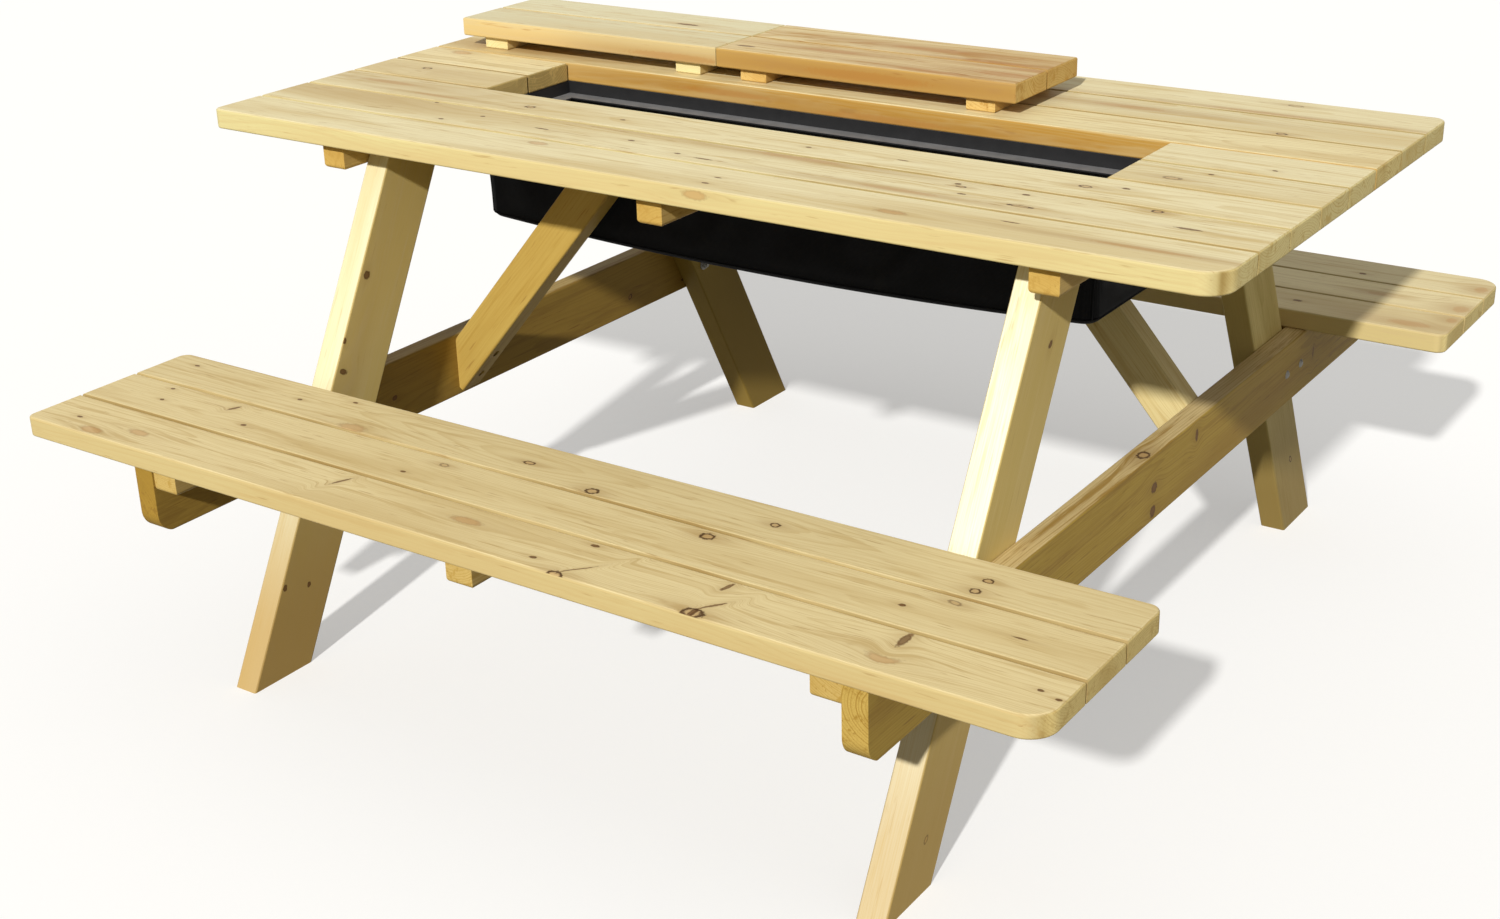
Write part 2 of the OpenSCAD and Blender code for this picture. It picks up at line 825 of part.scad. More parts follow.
// Lid parts are modelled about the lid's own middle, battens down
module lid_at(side) {
    translate([side < 0 ? lid_left_x : lid_right_x, lid_y, table_height])
        children();
}

function lid_points(bx) = [for (y = [-pitch / 2, pitch / 2], s = [-1, 1]) [bx, y + s * screw_spacing / 2]];

module lid_screws_at(points) {
    for (p = points)
        translate([p[0], p[1], 0])
            children();
}

module lid_board(side, row) {
    points = near(concat(lid_points(-batten_x), lid_points(batten_x)), row * pitch / 2, board_width / 2);
    lid_at(side)
        color(wood)
            difference() {
                translate([0, row * pitch / 2, batten_thickness])
                    timber_x(lid_length, board_width, board_thickness);
                lid_screws_at(points)
                    wood_screw(batten_thickness + screw_bite, screw_play);
            }
}

module lid_batten(side, place) {
    lid_at(side)
        color(wood_end)
            difference() {
                translate([place * batten_x, 0, 0])
                    rotate([0, 0, 90])
                        timber_x(batten_length, batten_width, batten_thickness);
                lid_screws_at(lid_points(place * batten_x))
                    wood_screw(batten_thickness + screw_bite, screw_play);
            }
}

module lid_screws(side) {
    lid_at(side)
        color(zinc)
            lid_screws_at(concat(lid_points(-batten_x), lid_points(batten_x)))
                wood_screw(batten_thickness + screw_bite);
}

module each_quarter() {
    for (x = [-1, 1], y = [-1, 1])
        quarter(x, y)
            children();
}

module frame_bolts() {
    color(zinc)
        each_quarter() {
            at_beam_bolts()
                dome_bolt(beam_thickness + leg_thickness);
            at_cleat_bolts()
                dome_bolt(table_cleat_width + leg_thickness);
        }
}

// Puts a washer or nut on the inner face of a leg, some distance off it
module at_leg_faces(off) {
    each_quarter() {
        at_beam_bolts()
            translate([-beam_thickness - leg_thickness - off, 0, 0])
                rotate([0, -90, 0])
                    children();
        at_cleat_bolts()
            translate([-table_cleat_width - leg_thickness - off, 0, 0])
                rotate([0, -90, 0])
                    children();
    }
}

module frame_washers() {
    color(zinc)
        at_leg_faces(0)
            difference() {
                cylinder(d = washer_d, h = washer_thickness);
                translate([0, 0, -1])
                    cylinder(d = bolt_d + 2 * bolt_play, h = washer_thickness + 2);
            }
}

module frame_nuts() {
    color(zinc)
        at_leg_faces(washer_thickness)
            difference() {
                cylinder(d = nut_width / cos(30), h = nut_height, $fn = 6);
                translate([0, 0, -1])
                    cylinder(d = bolt_d + 2 * nut_play, h = nut_height + 2);
            }
}

module tabletop_screws() {
    color(zinc)
        for (p = table_points())
            translate([p[0], p[1], underside - table_cleat_height])
                wood_screw(table_cleat_height + screw_bite);
}

module bench_screws() {
    color(zinc)
        for (s = [-1, 1])
            quarter(1, s) {
                for (x = [-end_bench_cleat_x, 0, end_bench_cleat_x], y = bench_rows)
                    translate([x, y, bench_under - bench_cleat_height])
                        wood_screw(bench_cleat_height + screw_bite);
                for (t = [-1, 1])
                    quarter(t, 1)
                        at_beam_screws()
                            wood_screw(bench_cleat_width + beam_screw_depth);
            }
}

module rail_screws() {
    color(zinc)
        for (p = rail_points())
            translate([p[0], p[1], flange_under - bag_fabric])
                rail_screw();
}

module brace_screws() {
    color(zinc)
        for (s = [-1, 1])
            quarter(s, s) {
                at_brace_low_screws()
                    wood_screw(brace_head_depth + beam_screw_depth);
                at_brace_top_screws()
                    wood_screw(brace_head_depth + screw_bite);
            }
}

full = table_length / 2;
tabletop_board(1, -full, full);  // tabletop_board_1
tabletop_board(2, -full, full);  // tabletop_board_2
tabletop_board(3, -full, full);  // tabletop_board_3
short_board(4, -1);  // tabletop_board_4_left
short_board(4, 1);  // tabletop_board_4_right
short_board(5, -1);  // tabletop_board_5_left
short_board(5, 1);  // tabletop_board_5_right
tabletop_board(6, -full, full);  // tabletop_board_6
tabletop_board(7, -full, full);  // tabletop_board_7
tabletop_board(8, -full, full);  // tabletop_board_8
end_table_cleat(-1);  // table_cleat_left
end_table_cleat(1);  // table_cleat_right
middle_table_cleat(-1);  // table_cleat_middle_front
middle_table_cleat(1);  // table_cleat_middle_rear
leg(-1, -1);  // leg_front_left
leg(1, -1);  // leg_front_right
leg(-1, 1);  // leg_rear_left
leg(1, 1);  // leg_rear_right
seat_beam(-1);  // seat_beam_left
seat_beam(1);  // seat_beam_right
brace(-1);  // brace_left
brace(1);  // brace_right
bench_board(-1, 1);  // bench_front_board_1
bench_board(-1, 2);  // bench_front_board_2
bench_board(-1, 3);  // bench_front_board_3
bench_board(1, 1);  // bench_rear_board_1
bench_board(1, 2);  // bench_rear_board_2
bench_board(1, 3);  // bench_rear_board_3
bench_cleat(-1, -1);  // bench_front_cleat_left
bench_cleat(0, -1);  // bench_front_cleat_middle
bench_cleat(1, -1);  // bench_front_cleat_right
bench_cleat(-1, 1);  // bench_rear_cleat_left
bench_cleat(0, 1);  // bench_rear_cleat_middle
bench_cleat(1, 1);  // bench_rear_cleat_right
long_rail(-1);  // cooler_rail_front
long_rail(1);  // cooler_rail_rear
end_rail(-1);  // cooler_rail_left
end_rail(1);  // cooler_rail_right
cooler_bag();
cooler_foam();
cooler_liner();
lid_board(-1, -1);  // lid_left_board_front
lid_board(-1, 1);  // lid_left_board_rear
lid_batten(-1, -1);  // lid_left_batten_left
lid_batten(-1, 1);  // lid_left_batten_right
lid_screws(-1);  // lid_left_screws
lid_board(1, -1);  // lid_right_board_front
lid_board(1, 1);  // lid_right_board_rear
lid_batten(1, -1);  // lid_right_batten_left
lid_batten(1, 1);  // lid_right_batten_right
lid_screws(1);  // lid_right_screws
frame_bolts();
frame_washers();
frame_nuts();
tabletop_screws();
bench_screws();
rail_screws();
brace_screws();
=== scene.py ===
# %% [markdown]
# # A picnic table with a cooler in its top
#
# This lesson dresses a measured model of a timber picnic table. Two benches are bolted on, and a long
# insulated bag hangs in a slot along the middle of the top. Two lids that fit the slot lie on the boards
# behind it. The solids come from the CAD frame and stay where they are. Blender gives them wood, steel and
# cloth.

# %% Load the measured frame
import json
import math

import bpy
import numpy as np
from mathutils import Matrix, Vector


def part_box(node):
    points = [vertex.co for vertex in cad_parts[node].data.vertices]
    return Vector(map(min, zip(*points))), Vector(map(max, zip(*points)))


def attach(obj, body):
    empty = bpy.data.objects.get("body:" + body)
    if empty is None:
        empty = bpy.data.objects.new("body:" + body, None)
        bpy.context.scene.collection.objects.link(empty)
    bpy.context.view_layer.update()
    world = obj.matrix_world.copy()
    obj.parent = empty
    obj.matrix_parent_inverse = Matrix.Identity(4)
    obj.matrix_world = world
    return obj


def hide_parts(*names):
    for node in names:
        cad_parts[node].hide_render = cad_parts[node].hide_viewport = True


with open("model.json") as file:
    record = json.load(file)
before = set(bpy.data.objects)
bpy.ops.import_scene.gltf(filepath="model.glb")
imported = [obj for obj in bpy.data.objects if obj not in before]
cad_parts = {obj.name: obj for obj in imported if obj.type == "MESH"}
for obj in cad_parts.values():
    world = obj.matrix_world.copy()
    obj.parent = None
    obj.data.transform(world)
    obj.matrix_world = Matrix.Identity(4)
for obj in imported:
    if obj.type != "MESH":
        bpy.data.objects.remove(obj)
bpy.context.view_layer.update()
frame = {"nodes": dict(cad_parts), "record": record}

nodes = frame["nodes"]

# %% [markdown]
# ## Wiring nodes without repeating yourself
#
# Every finish here is a network of shader nodes. Written out one by one such a network runs to hundreds of
# lines. A small class that adds a node, feeds its sockets and hands back its output keeps each finish as
# short as its idea.

# %% A helper that wires nodes
VECTOR_RESULTS = {"LENGTH": 1, "DOT_PRODUCT": 1}
MIX_COLOUR_SOCKETS = (0, 6, 7)


class Wiring:
    """Adds nodes to one material or node group and joins them."""

    def __init__(self, tree):
        self.tree = tree

    def feed(self, socket, value):
        """Joins a socket to another one, or sets it to a plain value."""
        if isinstance(value, bpy.types.NodeSocket):
            self.tree.links.new(value, socket)
        elif value is not None:
            socket.default_value = value

    def node(self, kind, feeds=(), **settings):
        """Adds a node. feeds goes to its inputs by name or in order, settings are its own properties."""
        made = self.tree.nodes.new(kind)
        for name, value in settings.items():
            setattr(made, name, value)
        for socket, value in (feeds.items() if isinstance(feeds, dict) else enumerate(feeds)):
            self.feed(made.inputs[socket], value)
        return made

    def math(self, operation, *feeds):
        return self.node("ShaderNodeMath", feeds, operation=operation).outputs[0]

    def vector(self, operation, *feeds):
        made = self.node("ShaderNodeVectorMath", feeds, operation=operation)
        return made.outputs[VECTOR_RESULTS.get(operation, 0)]

    def split(self, vector):
        return self.node("ShaderNodeSeparateXYZ", [vector]).outputs

    def join(self, x, y, z):
        return self.node("ShaderNodeCombineXYZ", [x, y, z]).outputs[0]

    def noise(self, place, scale=1.0, detail=2.0, rough=0.5):
        feeds = {"Vector": place, "Scale": scale, "Detail": detail, "Roughness": rough}
        return self.node("ShaderNodeTexNoise", feeds).outputs["Fac"]

    def step(self, value, low, high, to_low=0.0, to_high=1.0):
        """A soft step from to_low to to_high as value goes from low to high."""
        feeds = [value, low, high, to_low, to_high]
        return self.node("ShaderNodeMapRange", feeds, interpolation_type="SMOOTHSTEP").outputs[0]

    def mix(self, share, first, second, how="MIX"):
        feeds = dict(zip(MIX_COLOUR_SOCKETS, (share, first, second)))
        return self.node("ShaderNodeMix", feeds, data_type="RGBA", blend_type=how).outputs[2]


def group(name, inputs, outputs):
    """An empty node group with its sockets, and a Wiring for it."""
    made = bpy.data.node_groups.new(name, "ShaderNodeTree")
    for side, sockets in (("INPUT", inputs), ("OUTPUT", outputs)):
        for label, kind in sockets:
            made.interface.new_socket(label, in_out=side, socket_type="NodeSocket" + kind)
    wires = Wiring(made)
    return made, wires, wires.node("NodeGroupInput").outputs, wires.node("NodeGroupOutput").inputs


print("wiring helper ready")

# %% [markdown]
# ## Knots
#
# A knot is a branch that the trunk grew round. It runs through the board like a peg, the grain swerves round
# it, and its own wood is darker, often with a nearly black rim. A picture could be pasted on, but it would
# stop at the surface. Here a knot is a place in the solid wood: the group pushes the grain's coordinates
# aside, so that the rings drawn later bend round it, and it adds to three marks: heart, rim and the brown
# halo along the grain. Most knots come out on the wide faces, a few on the narrow ones, and each fades on the
# faces that it does not cross.

# %% One knot as a node group
knot_group, w, given, result = group(
    "knot",
    [("Grain", "Vector"), ("Marks", "Vector"), ("Place", "Vector"), ("Reach", "Vector"), ("Tone", "Vector"),
     ("Ragged", "Float"), ("Edge", "Float"), ("Facing", "Float")],
    [("Grain", "Vector"), ("Marks", "Vector")])
# How far the swerve of the grain and the brown halo reach, in sizes of the knot along and across the grain
PUSH_REACH = (4.0, 2.6)
HALO_REACH = (3.4, 1.8)
PUSH_SHARE = 0.85
HEART_EDGE = (0.7, 1.05)
RIM_MIDDLE = 0.86
RIM_WIDTH = (0.06, 0.34)

offset = w.split(w.vector("SUBTRACT", given["Grain"], given["Place"]))
side = w.math("MULTIPLY_ADD", given["Edge"], w.math("SUBTRACT", offset[2], offset[1]), offset[1])
reach = w.split(given["Reach"])
tone = w.split(w.vector("SCALE", given["Tone"], None, None, given["Facing"]))
along = w.math("DIVIDE", w.math("MULTIPLY_ADD", side, reach[2], offset[0]), reach[0])
across = w.math("DIVIDE", side, reach[1])


def falloff(along_factor, across_factor):
    """1 at the knot, falling to nothing at a few times its size."""
    flat = w.join(w.math("DIVIDE", along, along_factor), w.math("DIVIDE", across, across_factor), 0.0)
    square = w.vector("DOT_PRODUCT", flat, flat)
    return w.math("EXPONENT", w.math("MULTIPLY", square, -1.0))


ring = w.math("MULTIPLY", w.vector("LENGTH", w.join(along, across, 0.0)), given["Ragged"])
heart = w.math("MULTIPLY", w.step(ring, *HEART_EDGE, 1.0, 0.0), tone[0])
from_rim = w.math("ABSOLUTE", w.math("SUBTRACT", ring, RIM_MIDDLE))
rim = w.math("MULTIPLY", w.step(from_rim, *RIM_WIDTH, 1.0, 0.0), tone[1])
halo = w.math("MULTIPLY", falloff(*HALO_REACH), tone[2])
push = w.math("MULTIPLY", w.math("MULTIPLY", side, falloff(*PUSH_REACH)),
              w.math("MULTIPLY", given["Facing"], -PUSH_SHARE))
edge_push = w.math("MULTIPLY", push, given["Edge"])
shift = w.join(0.0, w.math("SUBTRACT", push, edge_push), edge_push)
w.feed(result["Grain"], w.vector("ADD", given["Grain"], shift))
w.feed(result["Marks"], w.vector("MAXIMUM", given["Marks"], w.join(heart, rim, halo)))
print("knot group:", len(knot_group.nodes), "nodes")

# %% [markdown]
# ## Planed softwood
#
# The boards are sawn from spruce or pine. In the trunk the growth rings are long, slightly wavy tubes round
# the pith. Each ring is pale wood that ends in a thin darker line. If the shader draws those tubes in space,
# every face shows the right figure by itself: arches on a flat-sawn face, fine lines on a quarter-sawn one,
# arcs at the ends. So the pith lies a few centimetres from each board, the distance to it counts the rings,
# and slow noise lets the trunk wander. Fibres, small brown dashes and slow changes of tone go over that. The
# faces that look toward the sun take another colour, mostly lighter and greyer: partly bleaching by sun and
# rain, partly painted light, and on one leg painted shade.

# %% Growth rings, fibres and end grain as a node group
softwood, w, given, result = group(
    "planed_softwood",
    [("Grain", "Vector"), ("Marks", "Vector"), ("Pith", "Vector"), ("Ring", "Float"), ("Figure", "Float"),
     ("End", "Float"), ("Bleach_And_Light", "Float"), ("Pale", "Color"), ("Top", "Color"), ("Late", "Color"),
     ("Heart", "Color")],
    [("Color", "Color"), ("Roughness", "Float"), ("Height", "Float")])

# Spots of each pattern per metre: along the grain, across it and through the board
WANDER = (1.3, 4.0, 4.0)
WOBBLE = (9.0, 70.0, 70.0)
WANDER_M = 0.05
WOBBLE_M = 0.0022
SEED_STRETCH = 7.0
UNEVEN_EVERY, UNEVEN_RINGS = 0.4, 2.2
LATE_RISE = (0.5, 0.94)
LATE_FALL = (0.95, 1.0)
FAINTEST_YEAR = 0.3

seed, pith_y, pith_z = w.split(given["Pith"])
seeded = w.vector("ADD", given["Grain"], w.join(w.math("MULTIPLY", seed, SEED_STRETCH), seed, seed))
slow = w.noise(w.vector("MULTIPLY", seeded, WANDER))
quick = w.noise(w.vector("MULTIPLY", seeded, WOBBLE))
spot = w.split(given["Grain"])
to_pith = w.join(0.0, w.math("SUBTRACT", spot[1], pith_y), w.math("SUBTRACT", spot[2], pith_z))
radius = w.vector("LENGTH", to_pith)
radius = w.math("MULTIPLY_ADD", slow, WANDER_M, radius)
radius = w.math("MULTIPLY_ADD", quick, WOBBLE_M, radius)
count = w.math("DIVIDE", radius, given["Ring"])
uneven = w.noise(w.join(w.math("MULTIPLY", count, UNEVEN_EVERY), seed, 0.0), 1.0, 1.0)
count = w.math("MULTIPLY_ADD", uneven, UNEVEN_RINGS, count)
phase = w.math("FRACT", count)
whole = w.math("FLOOR", count)
year = w.node("ShaderNodeTexWhiteNoise", {"W": whole}, noise_dimensions="1D").outputs["Value"]
late = w.math("MULTIPLY", w.step(phase, *LATE_RISE), w.step(phase, *LATE_FALL, 1.0, 0.0))
late = w.math("MULTIPLY", late, w.math("MULTIPLY_ADD", year, 1.0 - FAINTEST_YEAR, FAINTEST_YEAR))
print("rings wired,", len(softwood.nodes), "nodes so far")

# %% Fibres, dashes, tone and the marks of the knots
# Spots of each pattern per metre, as before
FIBRES, STREAKS = (14.0, 620.0, 620.0), (3.6, 74.0, 60.0)
DASHES, ZONES = (17.0, 270.0, 270.0), (1.4, 13.0, 13.0)
PATCH_WOOD = (0.42, 0.15, 0.02, 1.0)
KNOT_WOOD = (0.12, 0.044, 0.008, 1.0)
KNOT_RIM = (0.055, 0.019, 0.003, 1.0)
END_TINT = (1.04, 1.0, 0.80, 1.0)
END_RINGS = 1.5
HEART_SHARE, RIM_SHARE, HALO_SHARE = 0.85, 0.92, 0.6
SMOOTHEST, FIBRE_ROUGH, END_ROUGH = 0.52, 0.16, 0.15
LATE_HEIGHT, FIBRE_HEIGHT, RIM_HEIGHT = 0.35, 0.55, -0.6

fibre = w.noise(w.vector("MULTIPLY", seeded, FIBRES), 1.0, 3.0, 0.6)
streak = w.noise(w.vector("MULTIPLY", seeded, STREAKS), 1.0, 4.0, 0.68)
dash = w.noise(w.vector("MULTIPLY", seeded, DASHES), 1.0, 2.0, 0.55)
zone = w.noise(w.vector("MULTIPLY", seeded, ZONES))
heart_mark, rim_mark, halo_and_foot_shade_mark = w.split(given["Marks"])

end_share = w.step(given["End"], 0.55, 0.85)
colour = w.mix(given["Bleach_And_Light"], given["Pale"], given["Top"])
ringed = w.math("MULTIPLY", late, given["Figure"])
ringed = w.math("MULTIPLY", ringed, w.step(end_share, 0, 1, 1.0, END_RINGS))
colour = w.mix(ringed, colour, given["Late"])
# A pattern, where it starts and is full, how much of which colour it lays on, and if it belongs to the figure
for pattern, start, full, most, tint, figured in (
        (zone, 0.46, 0.72, 0.6, "Late", False), (streak, 0.53, 0.66, 1.25, "Late", True),
        (dash, 0.64, 0.74, 1.0, "Heart", True), (fibre, 0.35, 0.7, 0.3, "Late", False)):
    share = w.step(pattern, start, full, 0.0, most)
    colour = w.mix(w.math("MULTIPLY", share, given["Figure"]) if figured else share, colour, given[tint])
# The third mark is the knots' brown halo and the darkening towards the foot, which is painted shade with
# soil.
colour = w.mix(w.math("MULTIPLY", halo_and_foot_shade_mark, HALO_SHARE), colour, given["Heart"])
knot_wood = w.mix(w.step(heart_mark, 0.4, 0.9), PATCH_WOOD, KNOT_WOOD)
colour = w.mix(w.math("MULTIPLY", heart_mark, HEART_SHARE), colour, knot_wood)
colour = w.mix(w.math("MULTIPLY", rim_mark, RIM_SHARE), colour, KNOT_RIM)
colour = w.mix(end_share, colour, w.mix(1.0, colour, END_TINT, "MULTIPLY"))
w.feed(result["Color"], colour)

rough = w.math("MULTIPLY_ADD", fibre, FIBRE_ROUGH, SMOOTHEST)
w.feed(result["Roughness"], w.math("MULTIPLY_ADD", end_share, END_ROUGH, rough))
height = w.math("MULTIPLY_ADD", late, LATE_HEIGHT, w.math("MULTIPLY", fibre, FIBRE_HEIGHT))
w.feed(result["Height"], w.math("MULTIPLY_ADD", rim_mark, RIM_HEIGHT, height))
print("softwood group:", len(softwood.nodes), "nodes")

# %% [markdown]
# ## Which way the grain runs
#
# Every timber piece is cut along the grain, so its two largest pairs of faces are parallel to it. Their
# normals give the grain without a table of angles: the cross product of the two is the length of the piece.
# That holds for level boards, leaning legs and slanting braces alike.

# %% Measure each piece's own axes
ACROSS = 0.2  # the most that two normals may agree and still count as square to each other


def board_axes(piece):
    """The middle of a timber piece, and a matrix whose rows are its grain, its width and its thickness."""
    mesh = piece.data
    total = {}
    for face in mesh.polygons:
        n = np.array(face.normal)
        n = n if n[np.argmax(np.abs(n))] > 0 else -n
        key = tuple(np.round(n, 2) + 0.0)
        total.setdefault(key, [0.0, np.zeros(3)])
        total[key][0] += face.area
        total[key][1] += n * face.area
    ranked = sorted(total.values(), key=lambda t: -t[0])
    through = ranked[0][1] / np.linalg.norm(ranked[0][1])
    width = next(t[1] / np.linalg.norm(t[1]) for t in ranked[1:]
                 if abs(np.dot(t[1] / np.linalg.norm(t[1]), through)) < ACROSS)
    width = width - through * np.dot(width, through)
    width /= np.linalg.norm(width)
    grain = np.cross(width, through)
    if grain[np.argmax(np.abs(grain))] < 0:
        grain, width = -grain, -width
    points = np.array([v.co for v in mesh.vertices])
    middle = (points.min(0) + points.max(0)) / 2
    return middle, np.array([grain, width, through])


for sample in ("tabletop_board_1", "leg_front_left", "brace_left", "seat_beam_right"):
    print(sample, "grain", np.round(board_axes(nodes[sample])[1][0], 3))

# %% [markdown]
# ## Where the knots sit
#
# The boards of the top and of the front bench show some eighty marks. Most are dark pin knots, some are pale
# eyes in a dark ring, some are flat tan patches where a branch was only grazed, and a few are dark slanting
# spikes. One list in the table's own coordinates is enough, because each board picks out those that lie
# within its edges. The sizes were read with the darkened wood round each knot, so a knot is drawn at six
# tenths of them and an eye at about three quarters. Brown streaks and wide stains come from the same list.

# %% Knots of the top and of the front bench
# The kinds of mark: how strong their heart, their rim and their halo are
PIN = (1.0, 0.7, 0.6)
EYE = (0.2, 1.0, 0.8)
PATCH = (0.42, 0.14, 0.3)
SPIKE = (0.9, 0.6, 0.5)
LIGHT = (0.15, 0.55, 0.8)
BROWN = (0.30, 0.0, 1.0)
STAIN = (0.0, 0.0, 0.7)
KNOT_CORE = 0.6
DRAWN_SIZE = {PATCH: 1.0, BROWN: 1.0, STAIN: 1.0, EYE: 0.74}
# Each mark: x and y in millimetres, half length, half width, slant and kind
TOP_KNOTS = [
    (101, -148, 7, 4, 0, PIN), (238, -145, 14, 2.5, 0.3, PIN), (348, -205, 7, 5, 0, PIN),
    (357, -212, 9, 5, 0.4, EYE), (372, -240, 9, 3.5, 0, PIN), (439, -207, 8, 5, 0, PIN),
    (454, -252, 24, 4, 0.5, EYE), (483, -142, 11, 6, 0, EYE), (528, -128, 9, 5, 0, PIN),
    (598, -196, 10, 7, 0, EYE), (654, -241, 26, 5, 0.0, SPIKE), (338, -344, 22, 7, 0, PATCH),
    (474, -313, 20, 2.5, 0.2, PIN), (556, -60, 20, 9, 0, LIGHT), (590, -24, 6, 4, 0, PIN),
    (-653, -35, 11, 7, 0, EYE), (-680, 73, 20, 10, 0, PATCH), (-355, -151, 11, 7, 0, EYE),
    (-378, -224, 6, 4, 0, PIN), (-490, -193, 6, 4, 0, PIN), (-263, -238, 20, 3, 0.4, PIN),
    (-218, -300, 17, 7, 0, PATCH), (-119, -230, 9, 4, 0, PIN), (-196, -148, 6, 4, 0, PIN),
    (15, -259, 22, 3, 0.3, PIN), (-28, -254, 8, 4, 0, PIN), (82, -348, 9, 4, 0, PIN),
    (82, -321, 8, 3, 0, PIN), (-420, -262, 7, 4, 0, PIN), (538, 290, 100, 5, 6.5, BROWN),
    (366, 238, 60, 9, 0, BROWN), (593, 197, 10, 7, 0, EYE), (-640, -130, 60, 8, 0, BROWN),
    (-520, -160, 50, 6, 0, BROWN), (120, -200, 70, 7, 0, BROWN), (300, -262, 60, 6, 0, BROWN),
    (-70, -190, 80, 6, 0, BROWN), (640, -330, 70, 5, 0, BROWN), (556, 345, 18, 7, 0, LIGHT),
    (-600, 140, 70, 16, 0, STAIN), (-610, -215, 90, 22, 0, STAIN), (-590, -130, 90, 22, 0, STAIN),
    (-600, -45, 80, 22, 0, STAIN),
]
BENCH_KNOTS = [
    (-695, -506, 7, 4, 0, PIN), (-655, -585, 6, 4, 0, PIN), (-637, -620, 6, 4, 0, PIN),
    (-527, -592, 5, 14, -0.4, SPIKE), (-472, -627, 7, 5, 0, PIN), (-684, -719, 8, 4, 0, PIN),
    (-634, -742, 22, 9, 0, PATCH), (-571, -720, 20, 9, 0, PATCH), (-474, -524, 7, 4, 0, PIN),
    (-400, -494, 7, 4, 0, PIN), (-342, -560, 24, 11, 0, PATCH), (-69, -530, 12, 6, 0, EYE),
    (-155, -590, 12, 7, 0, LIGHT), (-186, -631, 7, 4, 0, PIN), (-231, -692, 4, 22, -0.43, SPIKE),
    (-23, -699, 24, 8, 0, PATCH), (153, -754, 14, 10, 0, EYE), (106, -734, 8, 5, 0, PIN),
    (51, -557, 12, 10, 0, EYE), (242, -588, 13, 10, 0, EYE), (291, -523, 9, 7, 0, EYE),
    (560, -585, 13, 8, 0.6, LIGHT), (565, -550, 9, 8, 0, EYE), (566, -523, 9, 8, 0, EYE),
    (515, -618, 7, 5, 0, PIN), (556, -683, 8, 25, 0, SPIKE), (556, -722, 20, 10, 0, PATCH),
    (334, -680, 5, 17, -0.2, SPIKE), (336, -748, 18, 13, 0, EYE), (336, -748, 6, 5, 0, PIN),
    (346, -731, 4, 28, -0.53, SPIKE), (168, -734, 2.5, 33, -0.71, SPIKE), (148, -674, 10, 5, 0, PIN),
    (655, -619, 14, 2.5, 0.2, PIN), (720, -703, 6, 4, 0, PIN), (743, -710, 6, 4, 0, PIN),
]
# Marks on other pieces: place in millimetres, half length, half width, slant, tone, and 1 for a narrow face
OTHER_KNOTS = {
    "seat_beam_right": [
        ((551, -47, 312), 14, 12, 0, PIN, 0), ((551, -48, 281), 13, 16, 0, PIN, 0),
        ((551, 85, 337), 7, 15, 0, PIN, 0), ((540, -62, 360), 15, 11, 0, EYE, 1),
        ((551, 520, 314), 4, 15, 0, SPIKE, 0),
    ],
    "leg_front_left": [
        ((-481, -585, 129), 8, 6, 0, PIN, 0), ((-481, -542, 116), 7, 5, 0, PIN, 0),
        ((-481, -560, 150), 90, 12, 0, STAIN, 0), ((-481, -500, 240), 80, 10, 0, STAIN, 0),
        ((-481, -416, 434), 7, 5, 0, PIN, 0), ((-481, -427, 393), 7, 5, 0, PIN, 0),
        ((-481, -367, 516), 10, 7, 0, PIN, 0),
    ],
    "tabletop_board_1": [
        ((83, -372, 711), 19, 6, 0, PATCH, 1),
    ],
    "tabletop_board_6": [
        ((-200, 95, 706), 90, 5, 0, BROWN, 1), ((60, 95, 700), 120, 5, 0, BROWN, 1),
    ],
    "lid_right_board_front": [
        ((222, 150, 766), 46, 14, 0, BROWN, 0), ((120, 130, 766), 60, 10, 0, BROWN, 0),
        ((-191, 138, 766), 26, 5, 0, SPIKE, 0), ((30, 110, 750), 110, 8, 0, BROWN, 1),
        ((250, 175, 766), 50, 12, 0, BROWN, 0), ((-60, 165, 766), 50, 10, 0, BROWN, 0),
    ],
    "lid_right_board_rear": [
        ((60, 240, 766), 70, 12, 0, BROWN, 0), ((180, 215, 766), 60, 12, 0, BROWN, 0),
    ],
    "lid_left_board_rear": [
        ((-356, 225, 766), 34, 7, 0, SPIKE, 0),
    ],
    "lid_left_board_front": [
        ((-300, 110, 745), 90, 6, 0, BROWN, 1),
    ],
    "bench_rear_board_1": [
        ((690, 505, 388), 34, 12, 0, BROWN, 0), ((520, 520, 388), 11, 6, 0, PIN, 0),
        ((738, 540, 388), 8, 14, 0, BROWN, 0),
    ],
    "bench_rear_board_2": [
        ((610, 610, 388), 16, 7, 0, BROWN, 0), ((735, 600, 388), 12, 16, 0, BROWN, 0),
    ],
    "bench_rear_board_3": [
        ((735, 700, 388), 10, 14, 0, BROWN, 0), ((560, 690, 388), 9, 6, 0, PIN, 0),
    ],
}
print(len(TOP_KNOTS), "marks in the top,", len(BENCH_KNOTS), "in the front bench,",
      sum(len(marks) for marks in OTHER_KNOTS.values()), "elsewhere")

# %% [markdown]
# ## Giving every board its own piece of the tree
#
# If all boards shared one material they would repeat like wallpaper. Each gets its own place in the trunk:
# how far the pith is, how wide the rings are, how strong the figure is and how pale the wood. A seeded
# generator draws these, so each run gives the same table. The wood's colours are set by family: pale legs,
# yellower top, browner benches. Use adds the rest. The eased edges are painted a little darker, as painted
# shade that tones down their highlight. The edges where two boards meet get patchy painted shade, here more
# and there less, and the legs grow darker towards the foot: painted shade under the bench and the beams, and
# soil at the feet.

# %% Painted shade in the joints, and the knots of one piece
JOINT_DEPTH = (0.014, 0.008)  # metres inside the row's outer edges where the painted joint shade starts to fade and is gone
JOINT_SHADE_SPOTS = (3.0, 9.0, 9.0)
LEAST_JOINT_SHADE = 0.3
RAGGED_SPOTS = 260.0
RAGGED, LEAST_RAGGED = 0.8, 0.6
FACE = (0.45, 0.85)  # how squarely a face has to look along an axis to count as that face


